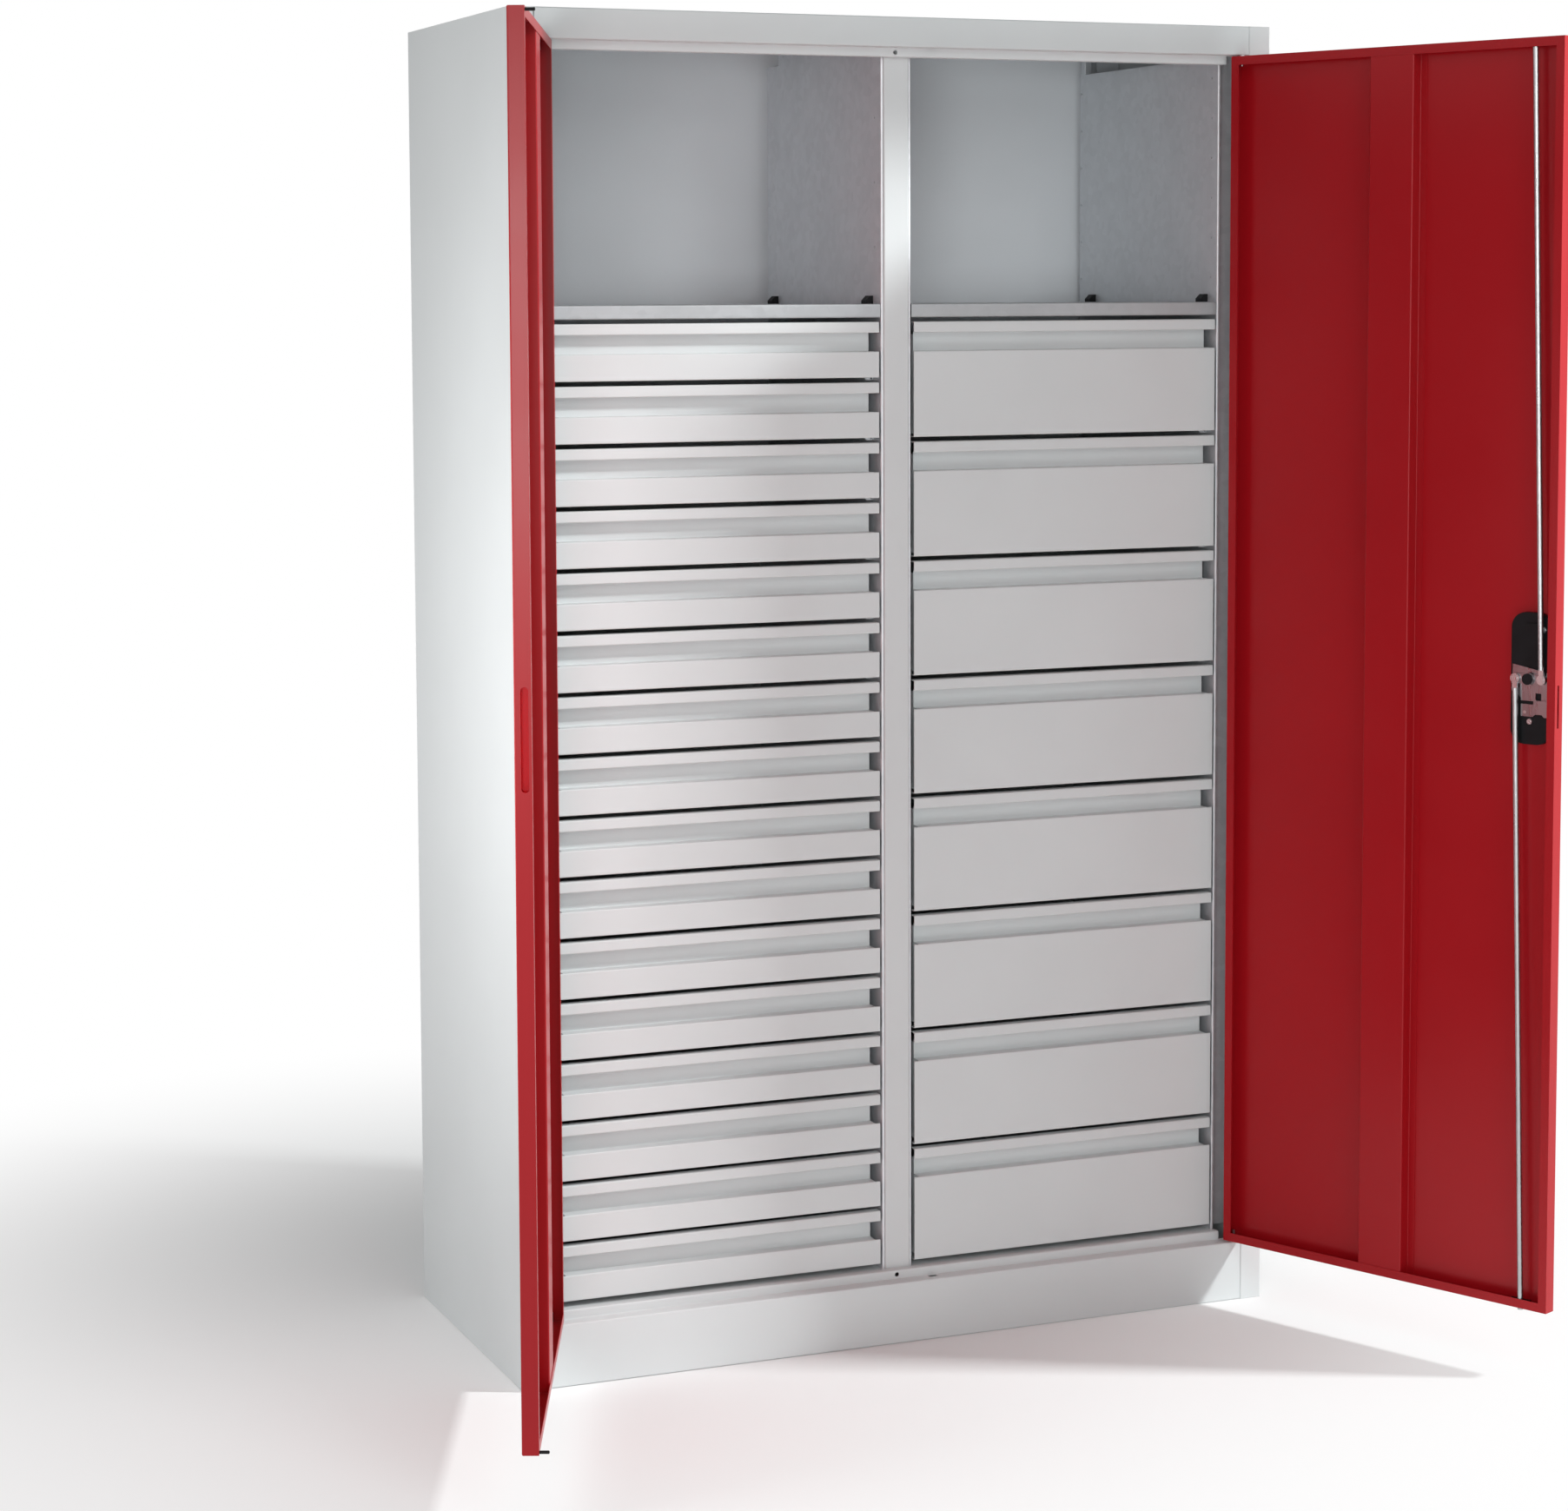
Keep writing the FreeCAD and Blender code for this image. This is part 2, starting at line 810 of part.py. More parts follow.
def shelf_clips():
    """Eight clips that grip the shelf edges at the bay walls."""
    under = shelf_level - s.sheet
    clips = []
    for sign in (-1, 1):
        for wall_x, inward in ((bay_near, 1), (bay_far, -1)):
            reach = wall_x + s.clip_reach * inward
            edge = wall_x + s.shelf_play * inward
            outline = [
                (wall_x, under - s.clip_rise),
                (reach, under - s.clip_rise),
                (reach, under),
                (edge, under),
                (edge, shelf_level),
                (reach, shelf_level),
                (reach, shelf_level + s.clip_step),
                (wall_x + s.clip_step * inward, shelf_level + s.clip_rise),
                (wall_x, shelf_level + s.clip_rise),
            ]
            corners = [(x * sign, z, None) for x, z in outline]
            rear_clip = wall_back - s.clip_setback - s.clip_width
            for start in (wall_front + s.clip_setback, rear_clip):
                piece = Piece(f"clip_{len(clips) + 1}")
                piece.add("y", start, start + s.clip_width, corners)
                clips.append(piece.body)
    group("shelf_clips", clips)


# Drawers, drawn about the middle of a bay, behind the face line and above their own lower edge

tray_half = bay_half - s.channel_reach - s.tray_clearance
slide_half = bay_half - s.sheet - s.slide_end_gap
slide_low = s.tray_lift - s.slide_drop
slide_start = s.grip_depth + s.wall + s.slide_setback
slide_end = back - s.tray_rear_gap - face


def drawer_front(name, height):
    """A front folded into a top strip, a finger channel with open ends and a lower face."""
    grip_top = height - s.strip
    grip_low = grip_top - s.grip_height
    path = [
        (s.front_fold, height),
        (0, height),
        (0, grip_top),
        (s.grip_depth, grip_top),
        (s.grip_depth, grip_low),
        (0, grip_low),
        (0, 0),
        (s.front_fold, 0),
    ]
    half = bay_half - s.front_gap
    piece = Piece(name)
    piece.add("x", -half, half, folded(path, s.wall, 1))
    notch = rectangle(s.wall, s.grip_depth + s.wall + s.overrun, grip_low - s.wall, grip_top + s.wall)
    for sign in (-1, 1):
        piece.cut("x", (half - s.grip_notch) * sign, (half + s.overrun) * sign, notch)
    return piece.body


def drawer_tray(name, height):
    """The open tray behind a front."""
    start = s.grip_depth + s.wall
    top = height - s.tray_drop
    half = tray_half
    inside = rectangle(-half + s.wall, half - s.wall, start + s.wall, slide_end - s.wall)
    piece = Piece(name)
    piece.add("z", s.tray_lift, top, rectangle(-half, half, start, slide_end))
    piece.cut("z", s.tray_lift + s.wall, top, inside)
    return piece.body


def drawer_slide(name, sign):
    """The bar on a tray's side that runs in the cabinet's channel."""
    bar = rectangle(tray_half * sign, slide_half * sign, slide_low, slide_low + s.slide_height)
    return Piece(name).add("y", slide_start, slide_end, bar).body


def drawer_channel(name, sign):
    """The channel on a bay wall that a drawer's slide runs in."""
    outer = bay_half
    inner = outer - s.channel_reach
    low = slide_low - s.play - s.sheet
    high = slide_low + s.slide_height + s.play + s.sheet
    path = [(inner * sign, low), (outer * sign, low), (outer * sign, high), (inner * sign, high)]
    return Piece(name).add("y", slide_start, slide_end, folded(path, s.sheet, sign)).body


def drawer_stack(side, sign, count, pitches):
    """A column of drawers; returns the channels that carry it."""
    height = s.drawer_pitch * pitches - s.drawer_gap
    slides = [drawer_slide(f"{side}_slide_{hand}", turn) for hand, turn in (("inner", -1), ("outer", 1))]
    channels = [drawer_channel(f"{side}_channel_{hand}", turn) for hand, turn in (("inner", -1), ("outer", 1))]
    members = [drawer_front(f"{side}_front", height), drawer_tray(f"{side}_tray", height), *slides]
    runners = []
    for index in range(count):
        level = stack_level + s.drawer_pitch * pitches * index
        number_from_top = count - index
        name = f"{side}_drawer_{number_from_top:02d}"
        node(placed(name, members, bay_middle * sign, face, level))
        runners.append(placed(f"{name}_runners", channels, bay_middle * sign, face, level))
    return runners


# Doors


def mirrored(shape, sign):
    """An outline on the other door."""
    return [(u * sign, *rest) for u, *rest in shape]


def door_panel(name, sign):
    """A door folded from one sheet: a shallow tray with a lip all round."""
    piece = Piece(name)
    low, high = door_low, door_high
    outer = rectangle(door_free, door_hinge, low, high)
    piece.add("y", door_front, door_back, mirrored(outer, sign))
    piece.round(s.door_round, lambda middle: near(middle.y, door_front))
    inside = rectangle(door_free + s.wall, door_hinge - s.wall, low + s.wall, high - s.wall)
    piece.cut("y", door_front + s.wall, door_back - s.wall, mirrored(inside, sign))
    lip = s.door_lip
    opening = rectangle(door_free + lip, door_hinge - lip, low + lip, high - lip)
    piece.cut("y", door_back - s.wall, door_back, mirrored(opening, sign))
    pin_hole = disc(0, 0, s.hinge_pin_radius + s.fit)
    for end in (low, high):
        piece.cut("z", end - s.wall * 2, end + s.wall * 2, pin_hole)
    return piece


def right_door():
    """The door with the lock: a dish hole, rod slots and a latch slot."""
    piece = door_panel("right_door", 1)
    width = s.dish_width + s.play * 2
    height = s.dish_height + s.play * 2
    dish = block(lock_x, width, s.lock_level, height, s.dish_round + s.play)
    piece.cut("y", door_front - s.overrun, door_front + s.wall + s.overrun, dish)
    rod_slot = block(lock_x, slot_half * 2, rod_y, slot_depth * 2)
    for end in (door_low, door_high):
        piece.cut("z", end - s.wall * 2, end + s.wall * 2, rod_slot)
    slot_level = latch_middle + s.latch_slot_rise
    latch_slot = block((cam_front + cam_back) / 2, s.cam_depth + s.play * 4, slot_level, s.latch_slot_height)
    piece.cut("x", door_free - s.overrun, door_free + s.wall + s.overrun, latch_slot)
    on_door(piece.body, 1)


def left_door():
    """The plain door, with a slot in its free edge for the latch."""
    piece = door_panel("left_door", -1)
    slot = stadium((cam_front + cam_back) / 2, s.lock_level, s.keeper_width, s.keeper_height)
    piece.cut("x", -door_free + s.overrun, -door_free - s.wall - s.overrun, slot)
    on_door(piece.body, -1)


def door_stiffener(name, sign):
    """A hat channel down the middle of a door."""
    middle = (door_free + door_hinge) / 2
    half = s.stiffener_width / 2
    foot = half + s.stiffener_foot
    skin = door_front + s.wall
    crown = door_back - s.wall * 2
    path = [
        (middle - foot, skin),
        (middle - half, skin),
        (middle - half, crown),
        (middle + half, crown),
        (middle + half, skin),
        (middle + foot, skin),
    ]
    piece = Piece(name)
    hat = folded([(x * sign, y) for x, y in path], s.wall, sign)
    piece.add("z", door_low + s.wall, door_high - s.wall, hat)
    on_door(piece.body, sign)


def hinge_pins(name, sign):
    """The two pivot pins of a door, through its lower and upper edges."""
    shank = disc(0, 0, s.hinge_pin_radius)
    lower = Piece(f"{name}_lower").add("z", ledge - s.hinge_pin_reach, door_low + s.hinge_pin_reach, shank)
    upper = Piece(f"{name}_upper").add("z", door_high - s.hinge_pin_reach, head + s.hinge_pin_reach, shank)
    pins = doc.addObject("Part::Compound", name)
    pins.Label = name
    pins.Links = [lower.body, upper.body]
    on_door(pins, sign)


def hinge_bushes():
    """The collared bushes in the plinth and the roof panel that the hinge pins turn in."""
    bushes = []
    for sign, side in ((-1, "left"), (1, "right")):
        x = pivot_x * sign
        bore = disc(x, pivot_y, s.hinge_pin_radius + s.fit)
        sleeve = disc(x, pivot_y, s.bush_radius)
        collar = disc(x, pivot_y, s.bush_collar_radius)
        for end_name, frame, door_edge, away in (
            ("lower", ledge, door_low - s.play, -1),
            ("upper", head, door_high + s.play, 1),
        ):
            tail = frame + s.hinge_pin_reach * away
            piece = Piece(f"{side}_{end_name}_bush")
            piece.add("z", frame, door_edge, collar)
            piece.add("z", frame, tail, sleeve)
            piece.cut("z", door_edge, tail, bore)
            bushes.append(piece.body)
    group("hinge_bushes", bushes)


# Lock


def handle_dish():
    """The recessed shell that the lever turns in."""
    piece = Piece("handle_dish")
    rim = s.dish_rim * 2
    walls = s.dish_wall * 2
    wide, tall, corner = s.dish_width, s.dish_height, s.dish_round
    flange = block(lock_x, wide + rim, s.lock_level, tall + rim, corner + s.dish_rim)
    shell = block(lock_x, wide, s.lock_level, tall, corner)
    hollow = block(lock_x, wide - walls, s.lock_level, tall - walls, corner - s.dish_wall)
    piece.add("y", door_front - s.dish_rim_depth, door_front, flange)
    piece.add("y", door_front, dish_back, shell)
    piece.cut("y", door_front - s.dish_rim_depth, dish_back - s.dish_wall, hollow)
    spindle_hole = disc(lock_x, s.lock_level, s.spindle_width)
    cylinder_hole = disc(lock_x, s.lock_level + s.cylinder_rise, s.cylinder_radius)
    piece.cut("y", dish_back - s.dish_wall, dish_back, spindle_hole, cylinder_hole)
    on_door(piece.body, 1)


lever_back = door_front - s.dish_rim_depth - s.lever_standoff
collar_back = dish_back - s.dish_wall - s.play


def handle_lever():
    """The lever, level towards the hinges while the lock is open."""
    half = s.lever_width / 2
    arm = rectangle(
        lock_x - half,
        lock_x + s.lever_length,
        s.lock_level - half,
        s.lock_level + half,
        half - s.fit,
    )
    piece = Piece("handle_lever")
    piece.add("y", lever_back - s.lever_depth, lever_back, arm)
    piece.round(s.lever_round, lambda middle: near(middle.y, lever_back - s.lever_depth))
    piece.add("y", lever_back, collar_back, disc(lock_x, s.lock_level, s.collar_radius))
    on_door(piece.body, 1)


def lock_spindle():
    """The square bar from the lever to the cam, with a round cap behind the cam."""
    bar = block(lock_x, s.spindle_width, s.lock_level, s.spindle_width)
    piece = Piece("lock_spindle").add("y", collar_back, eye_back, bar)
    piece.add("y", eye_back, eye_back + s.cap_depth, disc(lock_x, s.lock_level, s.cap_radius))
    on_door(piece.body, 1)


def lock_cylinder():
    """The fixed barrel of the key lock, closed behind by its housing."""
    level = s.lock_level + s.cylinder_rise
    housing = block(lock_x, s.housing_width, level, s.housing_height, s.housing_round)
    piece = Piece("lock_cylinder")
    piece.add("y", door_front, dish_back, disc(lock_x, level, s.cylinder_radius))
    piece.add("y", dish_back, plate_back, housing)
    piece.cut("y", door_front, dish_back, disc(lock_x, level, s.plug_radius + s.fit))
    on_door(piece.body, 1)


def lock_plug():
    """The plug that the key turns, with its key slot."""
    level = s.lock_level + s.cylinder_rise
    plug_front = door_front - s.dish_rim_depth / 2
    piece = Piece("lock_plug")
    piece.add("y", plug_front, dish_back - s.play, disc(lock_x, level, s.plug_radius))
    slot = block(lock_x, s.key_slot_width, level, s.plug_radius)
    piece.cut("y", plug_front, plug_front + s.key_slot_depth, slot)
    on_door(piece.body, 1)


def lock_plate():
    """The zinc plate behind the dish that carries the cam and the latch, waisted and notched."""
    near_x = lock_x + s.plate_reach
    step_x = near_x - s.plate_step
    far_x = lock_x - s.plate_reach
    notch_x = lock_x - s.plate_step
    waist = s.lock_level - s.plate_step
    bottom = s.lock_level - s.plate_drop
    corners = [
        (near_x, s.lock_level + s.plate_rise),
        (near_x, waist),
        (step_x, waist - s.plate_step),
        (step_x, bottom),
        (notch_x + s.plate_notch, bottom),
        (notch_x, bottom + s.plate_notch),
        (notch_x - s.plate_notch, bottom),
        (far_x, bottom),
        (far_x, s.lock_level + s.plate_rise / 2),
    ]
    hook = rectangle(
        step_x - s.hook_length,
        step_x + s.overrun,
        s.lock_level - s.hook_drop - s.hook_height / 2,
        s.lock_level - s.hook_drop + s.hook_height / 2,
    )
    window = block(notch_x, s.window_width, s.lock_level - s.window_drop, s.window_height)
    piece = Piece("lock_plate")
    piece.add("y", dish_back, plate_back, [(x, z, None) for x, z in corners])
    piece.cut("y", dish_back, plate_back, disc(lock_x, s.lock_level, s.spindle_width), hook, window)
    on_door(piece.body, 1)


def lock_cam():
    """The crossbar on the spindle, with a pin for each rod."""
    reach = s.cam_reach
    piece = Piece("lock_cam")
    bar = block(lock_x, reach * 2 + s.cam_width, s.lock_level, s.cam_width, s.cam_width / 2 - s.fit)
    piece.add("y", cam_front, cam_back, bar)
    piece.add("y", cam_back, eye_back, disc(lock_x, s.lock_level, s.cam_hub_radius))
    for sign in (-1, 1):
        pin = disc(lock_x + reach * sign, s.lock_level, s.cam_pin_radius)
        piece.add("y", cam_back, eye_back + s.play, pin)
    socket = s.spindle_width + s.fit * 2
    piece.cut("y", cam_front, eye_back, block(lock_x, socket, s.lock_level, socket))
    on_door(piece.body, 1)


def lock_rod(name, pin_side, tip, way):
    """A rod from a pin of the cam to the slot in the door's edge, leaning a little."""
    pin_x = lock_x + s.cam_reach * pin_side
    tip_x = lock_x - rod_swing * pin_side
    start = s.lock_level + s.rod_neck * way
    start_x = pin_x + (tip_x - pin_x) * (start - s.lock_level) / (tip - s.lock_level)
    piece = Piece(name)
    neck = rectangle(pin_x - s.rod_radius, pin_x + s.rod_radius, s.lock_level, start + s.rod_radius * way)
    piece.add("y", eye_front, eye_back, disc(pin_x, s.lock_level, s.eye_radius))
    piece.add("y", eye_front, eye_back, neck)
    piece.cut("y", eye_front, eye_back, disc(pin_x, s.lock_level, s.cam_pin_radius + s.fit))
    piece.loft((start, disc(start_x, rod_y, s.rod_radius)), (tip, disc(tip_x, rod_y, s.rod_radius)))
    on_door(piece.body, 1)


def rod_guides():
    """The slotted blocks in the door's ends that the rods slide through."""
    guides = []
    rod_slot = block(lock_x, slot_half * 2, rod_y, slot_depth * 2)
    outline = rectangle(lock_x - s.guide_width / 2, lock_x + s.guide_width / 2, dish_back, door_back - s.wall)
    for end_name, edge, inward in (("lower", door_low + s.wall, 1), ("upper", door_high - s.wall, -1)):
        piece = Piece(f"{end_name}_guide")
        piece.add("z", edge, edge + s.guide_height * inward, outline)
        piece.cut("z", edge, edge + s.guide_height * inward, rod_slot)
        guides.append(piece.body)
    compound = doc.addObject("Part::Compound", "rod_guides")
    compound.Label = "rod_guides"
    compound.Links = guides
    on_door(compound, 1)


def side_latch():
    """The bolt that slides out of the free edge into the other door."""
    tip = door_free + s.wall + s.latch_setback
    bolt = rectangle(
        tip,
        tip + s.latch_length,
        latch_middle - s.latch_height / 2,
        latch_middle + s.latch_height / 2,
    )
    on_door(Piece("side_latch").add("y", cam_front, cam_back, bolt).body, 1)


def lock_screws():
    """The two screws that hold the dish and its plate to the door."""
    screws = []
    lower = (lock_x, s.lock_level - s.screw_drop)
    upper = (lock_x - s.cam_reach, s.lock_level + s.screw_rise)
    for end_name, place in (("lower", lower), ("upper", upper)):
        piece = Piece(f"{end_name}_lock_screw")
        piece.add("y", dish_back, dish_back + s.screw_depth, disc(*place, s.screw_radius))
        screws.append(piece.body)
    compound = doc.addObject("Part::Compound", "lock_screws")
    compound.Label = "lock_screws"
    compound.Links = screws
    on_door(compound, 1)


def latch_keeper():
    """The pocket behind the slot in the left door's free edge."""
    middle = (cam_front + cam_back) / 2
    edge = -door_free - s.wall
    rim = s.wall * 2
    outer = block(middle, s.keeper_width + rim, s.lock_level, s.keeper_height + rim)
    inner = block(middle, s.keeper_width, s.lock_level, s.keeper_height)
    piece = Piece("latch_keeper")
    piece.add("x", edge, edge - s.keeper_depth, outer)
    piece.cut("x", edge, edge - s.keeper_depth + s.wall, inner)
    on_door(piece.body, -1)


def door_catches():
    """The two pins on the left door that snap into the door stops."""
    pins = []
    for end_name, level in (("lower", catch_low), ("upper", catch_high)):
        piece = Piece(f"{end_name}_catch")
        tip = door_back + s.catch_length
        piece.add("y", door_back, tip, disc(-catch_x, level, s.catch_radius))
        piece.round(s.catch_round, lambda middle: near(middle.y, tip))
        pins.append(piece.body)
    compound = doc.addObject("Part::Compound", "door_catches")
    compound.Label = "door_catches"
    compound.Links = pins
    on_door(compound, -1)


# Assembly


def build():
    side_panel("left_side", -1)
    side_panel("right_side", 1)
    roof_panel()
    plinth_panel()
    floor_panel()
    centre_foot()
    back_panel()
    centre_post()
    sides = ((-1, "left"), (1, "right"))
    group("partition_sheets", partition_sheets())
    group("side_liners", side_liners())
    group("liner_rails", [*liner_rails(), partition_rail(), partition_head()])
    group("shelves", [shelf(f"{side}_shelf", sign) for sign, side in sides])
    shelf_clips()
    small = drawer_stack("left", -1, SMALL_DRAWERS, 1)
    large = drawer_stack("right", 1, SMALL_DRAWERS // PITCHES_OF_LARGE, PITCHES_OF_LARGE)
    group("drawer_runners", small + large)
    left_door()
    right_door()
    for sign, side in sides:
        door_stiffener(f"{side}_stiffener", sign)
        hinge_pins(f"{side}_hinge_pins", sign)
    hinge_bushes()
    handle_dish()
    handle_lever()
    lock_spindle()
    lock_cylinder()
    lock_plug()
    lock_plate()
    lock_cam()
    lock_rod("upper_rod", -1, door_high, 1)
    lock_rod("lower_rod", 1, door_low - s.rod_show, -1)
    rod_guides()
    side_latch()
    lock_screws()
    latch_keeper()
    door_catches()
    doc.recompute()


def check():
    """Stop if an object failed, a shape isn't sound or a pocket cut nothing."""
    for item in doc.Objects:
        if "Invalid" in item.State or "Error" in item.State:
            raise RuntimeError(f"{item.Name} failed: {item.State}")
        if item.TypeId == "PartDesign::Pocket":
            if item.BaseFeature.Shape.Volume <= item.Shape.Volume:
                raise RuntimeError(f"{item.Name} cuts nothing")
    for item in nodes:
        if item.Shape.isNull() or not item.Shape.isValid():
            raise RuntimeError(f"{item.Label} has no sound shape")


def write():
    os.makedirs("parts", exist_ok=True)
    for item in nodes:
        item.Shape.exportStep(f"parts/{item.Label}.step")
    solids = sum(len(item.Shape.Solids) for item in nodes)
    print(f"{len(nodes)} nodes, {solids} solids")


build()
check()
write()
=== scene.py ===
"""Finishes, fasteners, light and camera for a two-door workshop tool cabinet."""

import json
import math

import bmesh
import bpy
from mathutils import Matrix, Vector


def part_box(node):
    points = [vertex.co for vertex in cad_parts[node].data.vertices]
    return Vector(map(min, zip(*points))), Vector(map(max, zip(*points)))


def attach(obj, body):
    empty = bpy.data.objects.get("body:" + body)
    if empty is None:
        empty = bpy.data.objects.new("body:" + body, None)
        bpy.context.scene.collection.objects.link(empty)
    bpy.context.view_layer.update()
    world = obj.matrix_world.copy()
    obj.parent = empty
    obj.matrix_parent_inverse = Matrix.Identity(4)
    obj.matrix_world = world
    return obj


bl_info = {
    "name": "Tool Cabinet",
    "version": (1, 0, 0),
    "blender": (4, 5, 0),
    "location": "View3D > Sidebar > Tool Cabinet",
    "description": "Dresses a two-door workshop tool cabinet and sets its stage",
    "category": "Object",
}

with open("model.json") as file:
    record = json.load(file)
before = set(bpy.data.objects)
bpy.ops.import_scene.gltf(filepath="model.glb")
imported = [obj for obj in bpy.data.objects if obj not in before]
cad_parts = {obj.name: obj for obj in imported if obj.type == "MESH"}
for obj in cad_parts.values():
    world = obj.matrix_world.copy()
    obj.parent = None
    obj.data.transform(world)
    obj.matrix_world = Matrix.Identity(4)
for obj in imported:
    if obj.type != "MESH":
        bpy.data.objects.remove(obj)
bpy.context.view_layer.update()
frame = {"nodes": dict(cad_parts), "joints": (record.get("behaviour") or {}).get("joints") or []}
NODES = frame["nodes"]
JOINTS = {joint["name"]: joint for joint in frame["joints"]}
DRAWERS = sorted(name for name in NODES if "_drawer_" in name)

# CAD nodes by finish

GREY_NODES = (
    "left_side",
    "right_side",
    "roof_panel",
    "plinth_panel",
    "floor_panel",
    "centre_foot",
    "centre_post",
)
BACK_NODES = ("back_panel",)
RED_NODES = ("left_door", "right_door", "left_stiffener", "right_stiffener")
KEEPER_NODES = ("latch_keeper",)
GALVANISED_NODES = ("partition_sheets", "side_liners", "liner_rails", "drawer_runners")
SHELF_NODES = ("shelves",)
LOCK_NODES = ("lock_plate", "lock_cam", "side_latch")
ZINC_NODES = (
    "left_hinge_pins",
    "right_hinge_pins",
    "hinge_bushes",
    "lock_plug",
    "upper_rod",
    "lower_rod",
    "lock_screws",
)
PLASTIC_NODES = (
    "shelf_clips",
    "door_catches",
    "handle_dish",
    "handle_lever",
    "lock_cylinder",
    "lock_spindle",
    "rod_guides",
)


# Settings


def colour(name, description, default):
    """A colour that the user can set."""
    return bpy.props.FloatVectorProperty(
        name=name,
        description=description,
        subtype="COLOR",
        size=3,
        min=0.0,
        max=1.0,
        default=default,
    )


def length(name, description, default):
    """A length that the user can set, in metres."""
    return bpy.props.FloatProperty(
        name=name,
        description=description,
        unit="LENGTH",
        min=0.0,
        default=default,
    )


def power(name, description, default):
    """A light's power that the user can set, in watts."""
    return bpy.props.FloatProperty(
        name=name,
        description=description,
        unit="POWER",
        min=0.0,
        default=default,
    )


def count(name, description, default):
    """A number of like fasteners that the user can set."""
    return bpy.props.IntProperty(
        name=name,
        description=description,
        min=2,
        max=40,
        default=default,
    )


class CabinetPaint(bpy.types.PropertyGroup):
    """Powder coats"""

    grey: colour("Grey", "Powder coat of the carcass and the drawers", (0.705, 0.73, 0.735))
    # The back's coat is partly the panel's own bluish tint and partly painted light: it is paler than the
    # carcass grey so the shaded compartments read lighter
    back: colour("Back", "Paler coat of the back panel", (0.84, 0.855, 0.88))
    red: colour("Red", "Powder coat of the doors", (0.40, 0.006, 0.011))
    # The keeper's red is partly a brighter insert and partly painted light that makes its shaded recess in
    # the door's edge read as lit
    keeper: colour("Keeper", "Brighter red of the keeper in the left door's edge", (0.80, 0.012, 0.025))
    peel: length("Peel", "Width of one dimple of the powder coat", 0.0022)
    cloud: length("Cloud", "Width of the soft variations in the coat's tint", 0.32)


class CabinetMetal(bpy.types.PropertyGroup):
    """Bare and plated metal"""

    galvanised: colour("Galvanised", "Zinc-coated sheet of the liners and partitions", (0.72, 0.735, 0.76))
    shelf: colour("Shelf", "Duller sheet of the shelves", (0.40, 0.412, 0.424))
    zinc: colour("Zinc", "Bright plating of the rods, pins and screws", (0.50, 0.505, 0.51))
    lock: colour("Lock", "Duller plating of the lock's plate and cam", (0.27, 0.25, 0.26))
    spangle: length("Spangle", "Width of one zinc crystal", 0.012)


class CabinetPlastic(bpy.types.PropertyGroup):
    """Moulded plastic"""

    black: colour("Black", "Moulded plastic of the handle, clips and guides", (0.007, 0.007, 0.008))
    grain: length("Grain", "Width of the moulding grain", 0.0009)


class CabinetFasteners(bpy.types.PropertyGroup):
    """Welds and screws"""

    welds: count("Welds", "Spot welds along each foot of a stiffener", 9)
    weld_radius: length("Weld radius", "Radius of one spot weld", 0.0022)
    back_screws: count("Back screws", "Screws along each rear flange", 9)
    screw_radius: length("Screw radius", "Radius of the back screws' heads", 0.0042)


class CabinetStage(bpy.types.PropertyGroup):
    """Floor and light"""

    floor: colour("Floor", "Pale studio floor", (0.88, 0.88, 0.88))
    front_tone: colour("Front tone", "Cool tone of the lights in front of the doors", (0.955, 1.0, 1.0))
    key_power: power("Key power", "Power of the softbox to the right of the cabinet", 250.0)
    key_size: length("Key size", "Edge of the softbox", 0.36)
    fill_power: power("Fill power", "Power of the broad light above the camera", 32.0)
    side_power: power("Side power", "Power of the light to the left of the cabinet", 11.0)
    low_power: power("Low power", "Power of the level light beside the camera", 46.0)
    near_floor: length("Near floor", "Distance out to which the floor shows its shadow fully", 0.2)
    far_floor: length("Far floor", "Distance from which the floor is one white with the backdrop", 1.9)
    sky: bpy.props.FloatProperty(
        name="Sky",
        description="Strength of the even light from all round",
        min=0.0,
        default=0.20,
    )


# Nodes shared by the materials

WHITE = (1.0, 1.0, 1.0)
# The part of a noise's range in which nearly all its values lie
NOISE_LOW = 0.3
NOISE_HIGH = 0.7


def new_material(name):
    """A new material with its node tree and its shader."""
    material = bpy.data.materials.new(name)
    material.use_nodes = True
    tree = material.node_tree
    shader = tree.nodes["Principled BSDF"]
    return material, tree, shader


def plug(tree, value, socket):
    """Link a socket to another one, or set its value."""
    if isinstance(value, bpy.types.NodeSocket):
        tree.links.new(value, socket)
    else:
        socket.default_value = value


def add_node(tree, kind, inputs=None, **settings):
    """Add a node, set its options and feed its inputs by name or index."""
    made = tree.nodes.new(kind)
    for key, value in settings.items():
        setattr(made, key, value)
    for key, value in (inputs or {}).items():
        plug(tree, value, made.inputs[key])
    return made


def object_coordinates(tree):
    """Places measured in the piece's own frame."""
    return add_node(tree, "ShaderNodeTexCoord").outputs["Object"]


def noise(tree, where, width, detail=2.0):
    """Noise whose features are about as wide as asked, in metres."""
    inputs = {"Vector": where, "Scale": 1.0 / width, "Detail": detail}
    return add_node(tree, "ShaderNodeTexNoise", inputs).outputs["Fac"]


def spread(tree, value, low, high):
    """Map the middle of a noise's range to the values between low and high."""
    inputs = {"Value": value, "From Min": NOISE_LOW, "From Max": NOISE_HIGH, "To Min": low, "To Max": high}
    return add_node(tree, "ShaderNodeMapRange", inputs).outputs["Result"]


def tint(tree, value, base, shares):
    """A ramp between a darker and a lighter shade of a colour, each a share of it."""
    ramp = add_node(tree, "ShaderNodeValToRGB", {"Fac": value})
    for element, position, share in zip(ramp.color_ramp.elements, (NOISE_LOW, NOISE_HIGH), shares):
        element.position = position
        element.color = (*(min(1.0, part * share) for part in base), 1.0)
    return ramp.outputs["Color"]


def bump(tree, height, depth, strength):
    """Fine relief as deep as asked, in metres."""
    inputs = {"Height": height, "Distance": depth, "Strength": strength}
    return add_node(tree, "ShaderNodeBump", inputs).outputs["Normal"]


